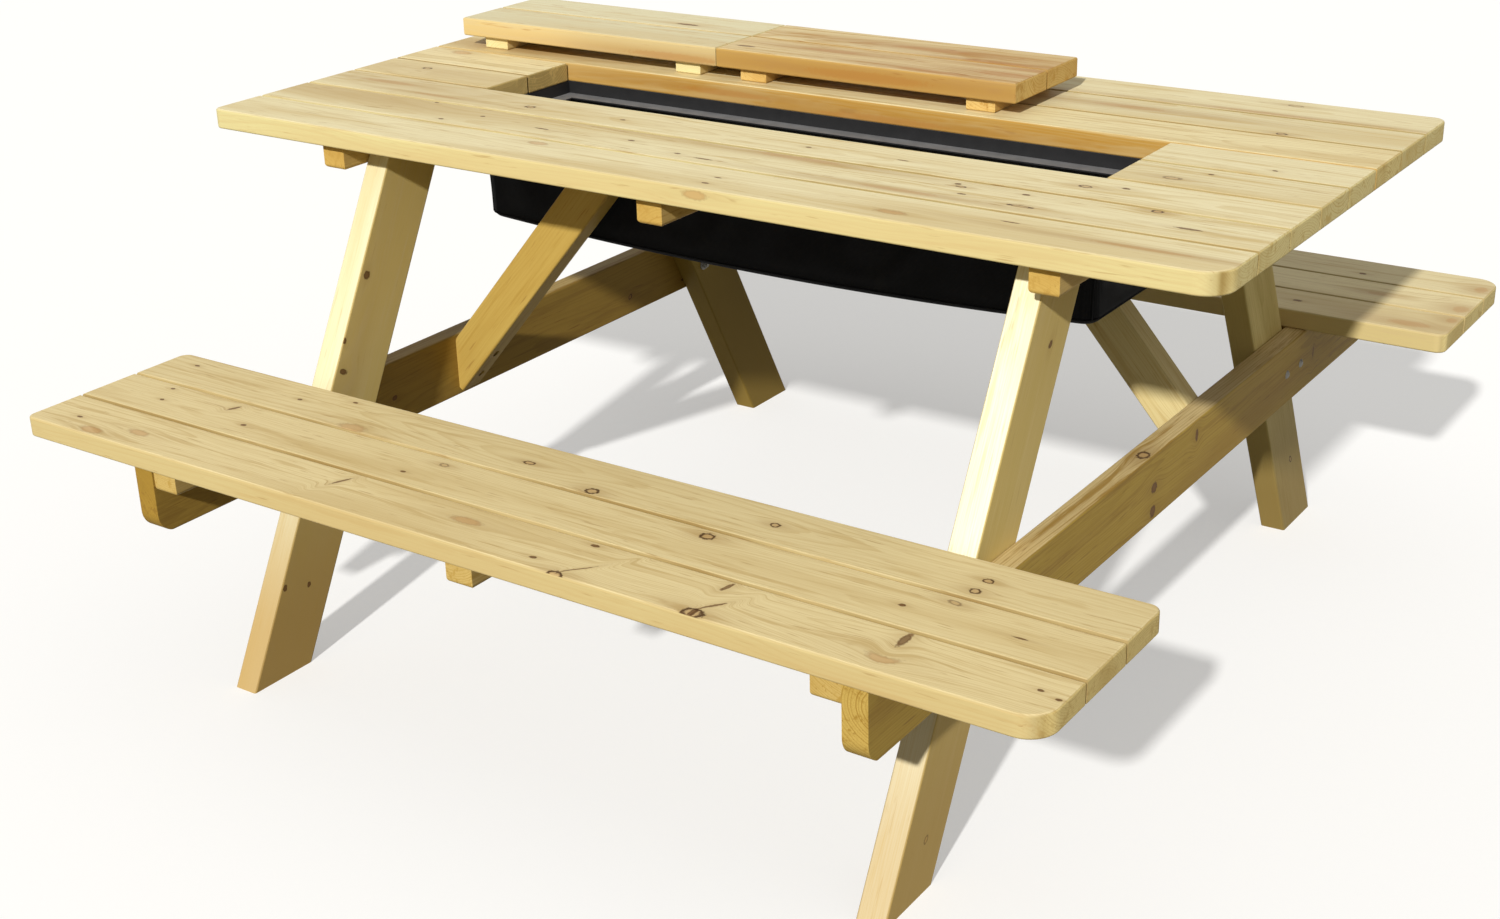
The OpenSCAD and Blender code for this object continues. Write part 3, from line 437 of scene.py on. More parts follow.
def joint_painted_shade(w, place, narrow, middle, half):
    """How much painted shade a narrow edge gets: it only gets it where it meets the next board of its row."""
    outward = w.math("ABSOLUTE", w.math("SUBTRACT", w.split(place)[1], middle))
    start, end = (half - depth for depth in JOINT_DEPTH)
    inward = w.math("MULTIPLY", w.step(outward, start, end, 1.0, 0.0), w.step(narrow, 0.25, 0.7))
    shade_patches = w.noise(w.vector("MULTIPLY", place, JOINT_SHADE_SPOTS))
    return w.math("MULTIPLY", inward, w.step(shade_patches, 0.4, 0.66, LEAST_JOINT_SHADE, 1.0))


def bend_round(w, grain, marks, knots, narrow, wide):
    """Sends the grain and the marks of a piece through one knot group after another."""
    faces = w.step(wide, *FACE), w.step(narrow, *FACE)
    ragged = w.math("MULTIPLY_ADD", w.noise(grain, RAGGED_SPOTS, 3.0), RAGGED, LEAST_RAGGED)
    for spot, half_length, half_width, slant, tone, edge in knots:
        size = DRAWN_SIZE.get(tone, KNOT_CORE) / 1000
        feeds = {"Grain": grain, "Marks": marks, "Place": spot, "Tone": tone, "Ragged": ragged,
                 "Edge": float(edge), "Reach": (size * half_length, size * half_width, slant),
                 "Facing": faces[edge]}
        bent = w.node("ShaderNodeGroup", node_tree=knot_group)
        for socket, value in feeds.items():
            w.feed(bent.inputs[socket], value)
        grain, marks = bent.outputs["Grain"], bent.outputs["Marks"]
    return grain, marks


print("joints and knots ready")

# %% Finish one timber piece
GRAIN_HEIGHT_M = 0.00025
GRAIN_BUMP = 0.35
ARRIS_SHADE_TONE = 0.86
JOINT_SHADE_TINT = (0.56, 0.48, 0.35, 1)
FOOT = (0.05, 0.38)  # metres above the ground where the darkening of the foot is full, and where it ends
TREES = 40
PITH_ASIDE = (0, 0.035)
PITH_BELOW = (0.03, 0.07)
WOOD_GLOSS = 0.2
dice = np.random.default_rng(47)


def timber(piece, pale, top, late, heart, sunny=(0, 0, 1), ring=0.0034, figure=0.6, ends=1.0, foot_shade_and_soil=0.0,
           knots=(), joint=None):
    """Gives a timber piece its own softwood. sunny is where its bleached and painted-lit faces look, ends is
    how far its ends take that colour too, the foot weight how dark the piece grows towards its foot (painted
    shade under the bench and beams, and soil), and joint the middle and half width in y of the row of boards
    that it belongs to."""
    middle, axes = board_axes(piece)
    turn = Matrix(axes.tolist())
    material = bpy.data.materials.new("softwood_" + piece.name)
    material.use_nodes = True
    w = Wiring(material.node_tree)
    shader = material.node_tree.nodes["Principled BSDF"]
    place = w.node("ShaderNodeTexCoord").outputs
    turned = {"Location": -(turn @ Vector(middle)), "Rotation": turn.to_euler()}
    grain = w.node("ShaderNodeMapping", {"Vector": place["Object"], **turned}).outputs[0]
    facing = w.split(w.node("ShaderNodeMapping", {"Vector": place["Normal"], "Rotation": turn.to_euler()},
                            vector_type="VECTOR").outputs[0])
    end, narrow, wide = (w.math("ABSOLUTE", facing[k]) for k in range(3))
    # Eased edges, which look along no axis, are painted darker: painted shade that tones down their
    # highlight.
    painted_arris_shade = w.step(w.math("MAXIMUM", w.math("MAXIMUM", end, narrow), wide), 0.74, 0.98, ARRIS_SHADE_TONE, 1.0)
    # Faces that look along sunny, and the end faces by the share that ends gives, take the top colour: partly
    # bleaching by sun and rain, partly painted light, and painted shade on the rear right leg's front.
    bleach_and_light_share = w.math("MAXIMUM", w.step(w.vector("DOT_PRODUCT", place["Normal"], sunny), 0.5, 0.9),
                    w.step(end, 0.6, 0.9, 0.0, ends))
    # The legs grow darker towards the foot: painted shade under the bench and beams, and soil at the feet. It
    # rides in the third mark, with the knots' halo.
    marks = w.join(0.0, 0.0, w.step(w.split(place["Object"])[2], *FOOT, foot_shade_and_soil, 0.0))
    grain, marks = bend_round(w, grain, marks, knots, narrow, wide)
    pith = [dice.uniform(0, TREES), dice.choice([-1, 1]) * dice.uniform(*PITH_ASIDE),
            dice.choice([-1, 1]) * dice.uniform(*PITH_BELOW)]
    tint = dice.uniform(0.93, 1.03)
    feeds = {"Grain": grain, "Marks": marks, "Pith": pith, "Ring": ring * dice.uniform(0.8, 1.25),
             "Figure": figure * dice.uniform(0.75, 1.2), "End": end, "Bleach_And_Light": bleach_and_light_share,
             "Pale": (*(tint * c for c in pale), 1), "Top": (*(tint * c for c in top), 1),
             "Late": (*late, 1), "Heart": (*heart, 1)}
    wood = w.node("ShaderNodeGroup", node_tree=softwood)
    for socket, value in feeds.items():
        w.feed(wood.inputs[socket], value)
    bump = w.node("ShaderNodeBump",
                  {"Strength": GRAIN_BUMP, "Distance": GRAIN_HEIGHT_M, "Height": wood.outputs["Height"]})
    colour = w.vector("SCALE", wood.outputs["Color"], None, None, painted_arris_shade)
    if joint:
        # The edges where two boards of a row meet get patchy painted shade.
        colour = w.mix(joint_painted_shade(w, place["Object"], narrow, *joint), colour, JOINT_SHADE_TINT, "MULTIPLY")
    w.feed(shader.inputs["Base Color"], colour)
    w.feed(shader.inputs["Roughness"], wood.outputs["Roughness"])
    w.feed(shader.inputs["Normal"], bump.outputs[0])
    shader.inputs["Specular IOR Level"].default_value = WOOD_GLOSS
    piece.data.materials.clear()
    piece.data.materials.append(material)


print("softwood finish ready")

# %% [markdown]
# ## The wood of each family
#
# The pieces of one kind share their colours. pale is the wood of the faces in shade, top that of the faces
# that look toward sunny: bleached wood with painted light, and painted shade on the rear right leg's front.
# late is the thin dark line of each ring and heart the knots and their halo. figure says how clearly the
# rings show. A name is looked up from the top of the table down, so the exceptions stand before the family
# that they belong to.

# %% Timber families
BOARD = dict(late=(0.60, 0.46, 0.21), heart=(0.40, 0.25, 0.09), figure=0.65)
FINE_RINGS = 0.0026
FRONT_FACE = (0, -1, 0)
FAMILIES = {
    "tabletop_board_6": dict(pale=(0.46, 0.25, 0.042), top=(0.80, 0.70, 0.41), late=(0.54, 0.38, 0.15),
                             heart=(0.34, 0.17, 0.04), figure=0.6),
    # The two boards at the left end of the slot take a darker pale and no lighter ends: painted shade on that
    # end of the slot.
    "tabletop_board_4_left": dict(pale=(0.44, 0.33, 0.15), top=(0.81, 0.71, 0.43), ends=0.0, **BOARD),
    "tabletop_board_5_left": dict(pale=(0.40, 0.30, 0.13), top=(0.81, 0.70, 0.42), ends=0.0, **BOARD),
    "tabletop": dict(pale=(0.67, 0.60, 0.295), top=(0.79, 0.71, 0.45), **BOARD),
    "bench_front_board": dict(pale=(0.61, 0.49, 0.23), top=(0.77, 0.64, 0.35), late=(0.55, 0.40, 0.17),
                              heart=(0.38, 0.23, 0.08), figure=0.65),
    "bench_rear_board": dict(pale=(0.61, 0.49, 0.22), top=(0.77, 0.67, 0.40), late=(0.58, 0.45, 0.22),
                             heart=(0.42, 0.27, 0.11), figure=0.6),
    # The front legs' front faces look toward the sun and take a near-white top colour: bleaching and painted
    # light.
    "leg_front_left": dict(pale=(0.66, 0.50, 0.17), top=(0.77, 0.74, 0.52), late=(0.66, 0.52, 0.24),
                           heart=(0.46, 0.29, 0.09), sunny=FRONT_FACE, figure=0.36, foot_shade_and_soil=1.4,
                           ring=FINE_RINGS),
    "leg_front": dict(pale=(0.66, 0.50, 0.17), top=(0.89, 0.88, 0.68), late=(0.72, 0.57, 0.26),
                      heart=(0.46, 0.29, 0.09), sunny=FRONT_FACE, figure=0.36, foot_shade_and_soil=1.1, ring=FINE_RINGS),
    # The rear left leg is given dark colours all over: painted shade, as it stands in the shadow of the top.
    "leg_rear_left": dict(pale=(0.32, 0.22, 0.04), top=(0.40, 0.29, 0.07), late=(0.31, 0.21, 0.04),
                          heart=(0.28, 0.17, 0.04), figure=0.6, foot_shade_and_soil=0.6, ring=FINE_RINGS),
    # The rear right leg's sides take a lighter pale, and its front face, which looks toward the sun, a darker
    # top colour: painted light on the shaded sides and painted shade on the front.
    "leg_rear_right": dict(pale=(0.84, 0.70, 0.31), top=(0.58, 0.45, 0.16), late=(0.48, 0.36, 0.11),
                           heart=(0.30, 0.20, 0.055), sunny=FRONT_FACE, figure=0.5, foot_shade_and_soil=1.4,
                           ring=FINE_RINGS),
    # The left beam takes darker colours than the right one: painted shade, as it lies under the top.
    "seat_beam_left": dict(pale=(0.38, 0.24, 0.045), top=(0.50, 0.37, 0.14), late=(0.27, 0.16, 0.03),
                           heart=(0.20, 0.10, 0.02), figure=0.8, ends=0.0),
    "seat_beam": dict(pale=(0.46, 0.31, 0.055), top=(0.62, 0.48, 0.23), late=(0.31, 0.18, 0.03),
                      heart=(0.22, 0.11, 0.02), figure=0.9, ends=0.35),
    "brace_right": dict(pale=(0.72, 0.60, 0.30), top=(0.72, 0.60, 0.30), late=(0.58, 0.43, 0.17),
                        heart=(0.44, 0.28, 0.08), figure=0.6),
    "brace": dict(pale=(0.54, 0.38, 0.10), top=(0.56, 0.40, 0.13), late=(0.42, 0.26, 0.05),
                  heart=(0.30, 0.15, 0.03), figure=0.7),
    "table_cleat": dict(pale=(0.62, 0.45, 0.17), top=(0.56, 0.39, 0.13), late=(0.46, 0.29, 0.08),
                        heart=(0.38, 0.22, 0.06), figure=0.7),
    "bench": dict(pale=(0.55, 0.41, 0.17), top=(0.56, 0.42, 0.18), late=(0.42, 0.27, 0.07),
                  heart=(0.34, 0.20, 0.05), figure=0.7),
    "lid_left": dict(pale=(0.66, 0.49, 0.19), top=(0.72, 0.68, 0.46), late=(0.62, 0.49, 0.25),
                     heart=(0.42, 0.22, 0.06), figure=0.6),
    "lid_right": dict(pale=(0.54, 0.34, 0.09), top=(0.78, 0.66, 0.38), late=(0.50, 0.31, 0.10),
                      heart=(0.34, 0.15, 0.03), figure=0.8, ends=0.4),
}
timber_nodes = [s["node"] for s in frame["record"]["subparts"] if s["material_slot"] == "timber"]
print(len(FAMILIES), "families for", len(timber_nodes), "timber pieces")

# %% Knots for every piece, and the row that a board lies in
UNSEEN_KINDS = [PIN, PIN, EYE, PATCH, LIGHT]
BOARD_ROWS = ("tabletop", "bench_front_board", "bench_rear_board", "lid_left_board", "lid_right_board")
OPEN_EDGED = "tabletop_board_6"
KNOT_LISTS = {"tabletop": TOP_KNOTS, "bench_front_board": BENCH_KNOTS}


def own_knots(name):
    """The listed knots that lie on this piece, each with its place in the piece's own axes, in metres."""
    listed = next((marks for row, marks in KNOT_LISTS.items() if name.startswith(row)), [])
    low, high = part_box(name)
    middle, axes = board_axes(nodes[name])
    found = []
    for x, y, half_length, half_width, slant, tone in listed:
        if low.x < x / 1000 < high.x and low.y - half_width / 2000 < y / 1000 < high.y + half_width / 2000:
            spot = axes @ (np.array([x / 1000, y / 1000, middle[2]]) - middle)
            found.append((spot, half_length, half_width, slant, tone, 0))
    for point, *rest in OTHER_KNOTS.get(name, []):
        found.append((axes @ (np.array(point) / 1000 - middle), *rest))
    return found


def unseen_knots(name):
    """A few seeded knots for a piece whose own can't be seen."""
    middle, axes = board_axes(nodes[name])
    points = np.array([v.co for v in nodes[name].data.vertices])
    span = np.ptp((points - middle) @ axes.T, axis=0)
    amount = int(dice.integers(1, 3)) + int(span[0] > 1.0) * 2
    return [((dice.uniform(-0.45, 0.45) * span[0], dice.uniform(-0.4, 0.4) * span[1], 0.0),
             dice.uniform(6, 11), dice.uniform(4, 7), dice.uniform(-0.5, 0.5),
             UNSEEN_KINDS[dice.integers(0, len(UNSEEN_KINDS))], 0) for _ in range(amount)]


def joint_of(name):
    """Middle and half width in y of the row of boards that this one belongs to. The board behind the slot
    shows its clean edge, so it has none."""
    row = next((r for r in BOARD_ROWS if name.startswith(r) and name != OPEN_EDGED), None)
    if row:
        boxes = [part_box(n) for n in timber_nodes if n.startswith(row)]
        low, high = min(b[0].y for b in boxes), max(b[1].y for b in boxes)
        return (low + high) / 2, (high - low) / 2


for name in timber_nodes:
    family = next(f for f in FAMILIES if name.startswith(f))
    timber(nodes[name], knots=own_knots(name) or unseen_knots(name), joint=joint_of(name), **FAMILIES[family])
print(len(timber_nodes), "timber pieces finished")

# %% [markdown]
# ## Painted steel, zinc, their wear and a painted sheen
#
# The four folded rails that carry the lids and the bag are powder coated in satin black. Powder coat is never
# quite flat: it has a fine orange peel. The faces that look up are painted a lighter grey: dust, and the
# painted reflection of the sky on the flat ledges. The bolts, washers, nuts and screws are zinc plated, which
# is a bright metal with a slightly mottled bloom. Both need only noise in space, so neither needs a map.

# %% Powder-coated rails
def new_material(name, roughness=0.5, metallic=0.0):
    """A material, a Wiring for it, its shader and the place in the object."""
    material = bpy.data.materials.new(name)
    material.use_nodes = True
    shader = material.node_tree.nodes["Principled BSDF"]
    shader.inputs["Metallic"].default_value = metallic
    shader.inputs["Roughness"].default_value = roughness
    w = Wiring(material.node_tree)
    return material, w, shader, w.node("ShaderNodeTexCoord").outputs["Object"]


def wear(slot, material):
    """Puts a material on every CAD node of a slot."""
    found = [s["node"] for s in frame["record"]["subparts"] if s["material_slot"] == slot]
    for name in found:
        nodes[name].data.materials.clear()
        nodes[name].data.materials.append(material)
    print(material.name, "on", len(found), "nodes")


BARE_COAT, DUST_AND_SHEEN_COAT = (0.011, 0.011, 0.012, 1), (0.24, 0.24, 0.245, 1)

steel, w, shader, place = new_material("powder_coated_steel")
up = w.split(w.node("ShaderNodeTexCoord").outputs["Normal"])[2]
coat_mottle = w.noise(place, 60.0, 4.0, 0.6)
# Faces that look up are painted a lighter grey: dust, and the painted reflection of the sky on the flat
# ledges.
dust_and_sheen = w.math("MULTIPLY", w.step(up, 0.5, 0.95), w.math("MULTIPLY_ADD", coat_mottle, 0.5, 0.45))
w.feed(shader.inputs["Base Color"], w.mix(dust_and_sheen, BARE_COAT, DUST_AND_SHEEN_COAT))
w.feed(shader.inputs["Roughness"], w.math("MULTIPLY_ADD", coat_mottle, 0.2, 0.36))
peel = w.node("ShaderNodeBump", {"Strength": 0.2, "Distance": 0.0002, "Height": w.noise(place, 900.0, 2.0)})
w.feed(shader.inputs["Normal"], peel.outputs[0])
wear("black_steel", steel)

# %% Zinc-plated fixings
DULL_ZINC, BRIGHT_ZINC = (0.13, 0.125, 0.11, 1), (0.26, 0.25, 0.22, 1)

zinc, w, shader, place = new_material("zinc_plate", metallic=1.0)
bloom = w.noise(place, 260.0, 4.0, 0.6)
w.feed(shader.inputs["Base Color"], w.mix(bloom, DULL_ZINC, BRIGHT_ZINC))
w.feed(shader.inputs["Roughness"], w.math("MULTIPLY_ADD", bloom, 0.3, 0.5))
wear("zinc_steel", zinc)

# %% [markdown]
# ## The cooler bag
#
# The bag is three layers sewn together at the rim: a woven outer fabric, closed-cell foam and a welded liner.
# It hangs from a hem that is clamped under the steel flanges, and its bottom sags between the ends. Five flat
# plates would look like a box, so each layer is lofted: loops of points go down the wall, round the lower
# edge and in over the bottom, and every loop drops more in the middle than at the ends. Small folds hang down
# from the screws that hold the hem.

# %% Shape of the bag, taken from the CAD solids that it replaces
liner_low, liner_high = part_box("cooler_liner")
_, fabric_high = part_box("cooler_bag")
# Thickness of the layers and the play between them, then heights and roundings, all in metres
LINER = 0.0015
FABRIC = 0.0016
PLAY = 0.0003
TOP = fabric_high.z
NECK = TOP - 0.020
SHOULDER = TOP - 0.035
SAG = 0.015
FLOOR = liner_low.z + SAG + LINER
ROUND = 0.003
CORNER = 0.012
NECK_CORNER = 0.0005
SHARPEST, ROUNDEST = 0.0004, 0.98  # least radius of a corner in metres, and most as a share of the half width
TAPER = 0.014
TAPER_POWER = 2.4
INNER_X = liner_high.x - LINER
INNER_Y = liner_high.y - LINER
LONG_STEPS = 120
SHORT_STEPS = 26
CORNER_STEPS = 8
print("bag inside", round(2 * INNER_X, 3), "by", round(2 * INNER_Y, 3), "floor at", round(FLOOR, 4))

# %% Folds, and one loop of points round the bag
SCREW_X = (-0.4188, -0.1412, 0.1412, 0.4188)
SCREW_FOLD_M = 0.0010
RIPPLE_M = 0.0017
END_RIPPLE_M = 0.0014
FOLD_WIDTH, FOLD_SPREAD = 0.018, 0.05
# The ripples: radians per metre along the wall, and the angle by which those of the rear wall are shifted
END_WAVE, LONG_WAVE, SLOW_WAVE = 48, 31, 12.7
REAR_SHIFT = 1.7


def foam_share(z):
    """0 at the neck, where there is no foam, and 1 from the shoulder down."""
    return min(1.0, max(0.0, (NECK - z) / (NECK - SHOULDER)))


def fold(x, y, z, t, face):
    """How far a fold stands out from the wall, in metres. t runs from -1 to 1 along the wall."""
    if not SHOULDER > z > FLOOR:
        return 0.0
    down = (SHOULDER - z) / (SHOULDER - FLOOR)
    fade = math.sin(math.pi * down) ** 0.7 * (1 - t ** 8)
    if face == "short":
        return fade * END_RIPPLE_M * (0.5 + 0.5 * math.sin(END_WAVE * y + 3 * down))
    hang = sum(math.exp(-((x - s) / (FOLD_WIDTH + FOLD_SPREAD * down)) ** 2) for s in SCREW_X)
    side = REAR_SHIFT if y > 0 else 0.0
    wave = math.sin(LONG_WAVE * x + 4 * down + side) * math.sin(SLOW_WAVE * x - 2 * down + 2 * side)
    return fade * (SCREW_FOLD_M * hang + RIPPLE_M * (0.5 + 0.5 * wave))


def loop(out, z, inset=0.0, folds=0.0):
    """One loop of points round a layer of the bag. out is the distance outside the liner's inner face."""
    share = 0.0 if z >= NECK else 1 - ((max(z, FLOOR) - FLOOR) / (NECK - FLOOR)) ** TAPER_POWER
    reach_x = INNER_X - TAPER * share + out
    half_x, half_y = reach_x - inset, INNER_Y + out - inset
    r = NECK_CORNER + (CORNER - NECK_CORNER) * foam_share(z) + out - inset
    r = min(max(r, SHARPEST), half_y * ROUNDEST)
    drop = SAG * min(1.0, max(0.0, (SHOULDER - z) / (SHOULDER - FLOOR)))
    made = []

    def add(x, y, nx=0, ny=0, t=1.0, face="corner"):
        out_by = folds * fold(x, y, z, t, face) if face != "corner" else 0.0
        made.append((x + nx * out_by, y + ny * out_by, z - drop * (1 - (x / reach_x) ** 2)))

    for turn, (sx, sy) in enumerate(((1, -1), (1, 1), (-1, 1), (-1, -1))):
        for k in range(CORNER_STEPS + 1):
            a = math.radians(90 * (turn - 1 + k / CORNER_STEPS))
            add(sx * (half_x - r) + r * math.cos(a), sy * (half_y - r) + r * math.sin(a))
        if turn % 2 == 0:
            for k in range(1, SHORT_STEPS):
                t = 2 * k / SHORT_STEPS - 1
                add(sx * half_x, sx * t * (half_y - r), sx, 0, t, "short")
        else:
            for k in range(1, LONG_STEPS):
                t = 2 * k / LONG_STEPS - 1
                add(-sy * t * (half_x - r), sy * half_y, 0, sy, t, "long")
    return made


print(len(loop(0, TOP)), "points in each loop")

# %% Loft the loops into a closed shell
EDGE_STEPS = 8
BOTTOM_STEPS = 8
WALL_STEPS = 14
CENTRE_INSET = 0.985  # how far in the innermost loop of the bottom lies, as a share of the half width


def bowl(out_low, out_high, top, folds=0.0):
    """Loops from the middle of the bottom, round the lower edge and up to top."""
    half = INNER_Y - ROUND
    loops = [loop(-ROUND, FLOOR - out_low, half * CENTRE_INSET * (1 - k / BOTTOM_STEPS))
             for k in range(BOTTOM_STEPS)]
    bend = ROUND + out_low
    for k in range(EDGE_STEPS + 1):
        a = math.radians(90 * k / EDGE_STEPS)
        loops.append(loop(bend * math.sin(a) - ROUND, FLOOR + ROUND - bend * math.cos(a)))
    heights = [*np.linspace(FLOOR + ROUND, SHOULDER, WALL_STEPS)[1:], NECK, (NECK + TOP) / 2]
    for z in [h for h in heights if h < top - 1e-6] + [top]:
        loops.append(loop(out_low + (out_high - out_low) * (1 - foam_share(z)), z, 0.0, folds))
    return loops


def add_mesh(name, points, faces, material):
    """A smooth mesh object that rides on the table, and a line that says how big it is."""
    mesh = bpy.data.meshes.new(name)
    mesh.from_pydata(points, [], faces)
    mesh.validate()
    for polygon in mesh.polygons:
        polygon.use_smooth = True
    made = bpy.data.objects.new(name, mesh)
    bpy.context.scene.collection.objects.link(made)
    made.data.materials.append(material)
    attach(made, "root")
    size = np.ptp(np.array([v.co for v in mesh.vertices]), axis=0)
    print(name, len(mesh.vertices), "points,", np.round(size, 3), "m")
    return made


def shell(name, loops, material):
    """Joins loops into one closed mesh. The first and the last loop close across their short way."""
    n = len(loops[0])
    middle = CORNER_STEPS + SHORT_STEPS // 2
    faces = [(j * n + k, j * n + (k + 1) % n, (j + 1) * n + (k + 1) % n, (j + 1) * n + k)
             for j in range(len(loops) - 1) for k in range(n)]
    for base, flip in ((0, True), ((len(loops) - 1) * n, False)):
        for j in range(n // 2):
            strip = [(middle - j) % n, (middle + j) % n, (middle + j + 1) % n, (middle - j - 1) % n]
            face = [base + s for s in dict.fromkeys(strip)]
            faces.append(face[::-1] if flip else face)
    return add_mesh(name, [p for ring in loops for p in ring], faces, material)


print(len(bowl(0.0, 0.0, TOP)), "loops from the middle of the bottom to the rim")

# %% [markdown]
# ## Cloth, foam and liner finishes
#
# The outer cloth is a coarse plain weave of polyester. Its threads go over and under each other, and that can
# be written as sine waves, one for each direction of space. Every wall runs along two of the three, so the
# same waves work on the front, the ends and the bottom, and no flattened map is needed. The liner is a welded
# film with a satin skin, and the foam between the two has fine closed cells.

# %% Woven outer cloth
THREAD_PAIR_M = 0.0016
LINTLESS, LINTY = (0.003, 0.003, 0.0033, 1), (0.007, 0.007, 0.0065, 1)

cloth, w, shader, place = new_material("woven_polyester")
spot = w.split(w.vector("SCALE", place, None, None, 2 * math.pi / THREAD_PAIR_M))
waves = [w.math("SINE", spot[k]) for k in range(3)]
weave = w.math("ADD", w.math("ADD", waves[0], waves[1]), waves[2])
lint = w.step(w.noise(place, 23.0, 6.0, 0.7), 0.5, 0.8)
w.feed(shader.inputs["Base Color"], w.mix(lint, LINTLESS, LINTY))
w.feed(shader.inputs["Roughness"], w.math("MULTIPLY_ADD", weave, 0.05, 0.78))
creases = w.noise(w.vector("MULTIPLY", place, (1.0, 1.0, 0.35)), 38.0, 4.0, 0.6)
fine = w.node("ShaderNodeBump", {"Strength": 0.5, "Distance": 0.0003, "Height": weave})
soft = w.node("ShaderNodeBump",
              {"Strength": 0.4, "Distance": 0.002, "Height": creases, "Normal": fine.outputs[0]})
w.feed(shader.inputs["Normal"], soft.outputs[0])
shader.inputs["Specular IOR Level"].default_value = 0.1

# %% Welded liner film and closed-cell foam
DARK_FILM, PALE_FILM = (0.075, 0.077, 0.08, 1), (0.13, 0.132, 0.135, 1)
CELL_MIDDLE, CELL_EDGE = (0.34, 0.35, 0.37, 1), (0.22, 0.23, 0.25, 1)
CELLS_PER_M = 700.0

film, w, shader, place = new_material("liner_film")
cloud = w.noise(place, 9.0, 3.0, 0.6)
w.feed(shader.inputs["Base Color"], w.mix(cloud, DARK_FILM, PALE_FILM))
w.feed(shader.inputs["Roughness"], w.math("MULTIPLY_ADD", cloud, 0.25, 0.25))
rumple = w.node("ShaderNodeBump",
                {"Strength": 0.5, "Distance": 0.003, "Height": w.noise(place, 26.0, 3.0, 0.55)})
w.feed(shader.inputs["Normal"], rumple.outputs[0])

foam, w, shader, place = new_material("closed_cell_foam", 0.85)
cells = w.node("ShaderNodeTexVoronoi", {"Vector": place, "Scale": CELLS_PER_M}).outputs["Distance"]
w.feed(shader.inputs["Base Color"], w.mix(cells, CELL_MIDDLE, CELL_EDGE))
pores = w.node("ShaderNodeBump", {"Strength": 0.5, "Distance": 0.0004, "Height": cells})
w.feed(shader.inputs["Normal"], pores.outputs[0])
print("cloth, film and foam ready")

# %% Build the three layers
FOAM_IN = LINER + PLAY
FOAM = 0.006
FOAM_OUT = FOAM_IN + FOAM
CLOTH_LOW = FOAM_OUT + PLAY
CLOTH_HIGH = LINER + PLAY
HEM = 0.014
HEM_STEPS = 4
hem_under = TOP - FABRIC

outer_face = bowl(CLOTH_LOW + FABRIC, CLOTH_HIGH + FABRIC, hem_under, 1.0)
hem = [loop(CLOTH_HIGH + FABRIC + (HEM - FABRIC) * k / HEM_STEPS, hem_under) for k in range(1, HEM_STEPS + 1)]
hem += [loop(CLOTH_HIGH + HEM, TOP)]
inner_face = bowl(CLOTH_LOW, CLOTH_HIGH, TOP, 1.0)[::-1]
bag_cloth = shell("bag_outer_cloth", outer_face + hem + inner_face, cloth)
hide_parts("cooler_bag")

FOAM_BELOW = 0.001
foam_top = SHOULDER - FOAM_BELOW
foam_loops = bowl(FOAM_OUT, FOAM_OUT, foam_top) + bowl(FOAM_IN, FOAM_IN, foam_top)[::-1]
bag_foam = shell("bag_foam_layer", foam_loops, foam)
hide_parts("cooler_foam")

film_top = TOP - PLAY
bag_liner = shell("bag_liner_film", bowl(LINER, LINER, film_top) + bowl(0.0, 0.0, film_top)[::-1], film)
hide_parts("cooler_liner")

# %% [markdown]
# ## Seams of the bag
#
# The side strip is sewn to the base all round, and the strip closes at the corners. Each seam is a narrow
# welt, a little proud of the cloth. A tube swept along the same loops that shape the bag lies exactly on it,
# wherever the bag sags or turns.

# %% Sweep a welt along a line of points
WELT_SIDES = 8


def welt(name, line, radius, closed=True):
    """A round welt along a line of points, which closes on itself or has two flat ends."""
    line = [Vector(p) for p in line]
    count = len(line)
    points, faces = [], []
    for k, p in enumerate(line):
        before = line[k - 1] if closed or k else p
        after = line[(k + 1) % count] if closed or k < count - 1 else p
        ahead = (after - before).normalized()
        side = ahead.cross(Vector((0, 0, 1)) if abs(ahead.z) < 0.9 else Vector((1, 0, 0))).normalized()
        above = side.cross(ahead)
        for s in range(WELT_SIDES):
            a = 2 * math.pi * s / WELT_SIDES
            points.append(p + side * (radius * math.cos(a)) + above * (radius * math.sin(a)))
    for k in range(count if closed else count - 1):
        for s in range(WELT_SIDES):
            a, b = k * WELT_SIDES, (k + 1) % count * WELT_SIDES
            t = (s + 1) % WELT_SIDES
            faces.append((a + s, a + t, b + t, b + s))
    if not closed:
        first = tuple(range(WELT_SIDES))
        faces += [first[::-1], tuple((count - 1) * WELT_SIDES + s for s in first)]
    made = add_mesh(name, points, faces, cloth)
    return made


SEAM_ANGLE = math.radians(70)
SEAM_POINTS = 18
WELT = 0.0011
CORNER_WELT = 0.8 * WELT
PROUD = 0.4 * WELT
lower = ROUND + CLOTH_LOW + FABRIC
seam_out = lower * math.sin(SEAM_ANGLE) - ROUND
seam_z = FLOOR + ROUND - lower * math.cos(SEAM_ANGLE)
seams = [welt("bag_base_seam", loop(seam_out + PROUD, seam_z - 0.5 * PROUD), WELT)]
# The middle of each rounded corner, counted along a loop
corner_middles = [CORNER_STEPS // 2 + turn * (CORNER_STEPS + 1) + (turn + 1) // 2 * (SHORT_STEPS - 1)
                  + turn // 2 * (LONG_STEPS - 1) for turn in range(4)]
for k, label in zip(corner_middles, ("front_right", "rear_right", "rear_left", "front_left")):
    line = [loop(CLOTH_LOW + FABRIC + PROUD, z)[k] for z in np.linspace(seam_z, SHOULDER, SEAM_POINTS)]
    seams.append(welt("bag_corner_seam_" + label, line, CORNER_WELT, closed=False))

# %% The bag is done
print("bag built")

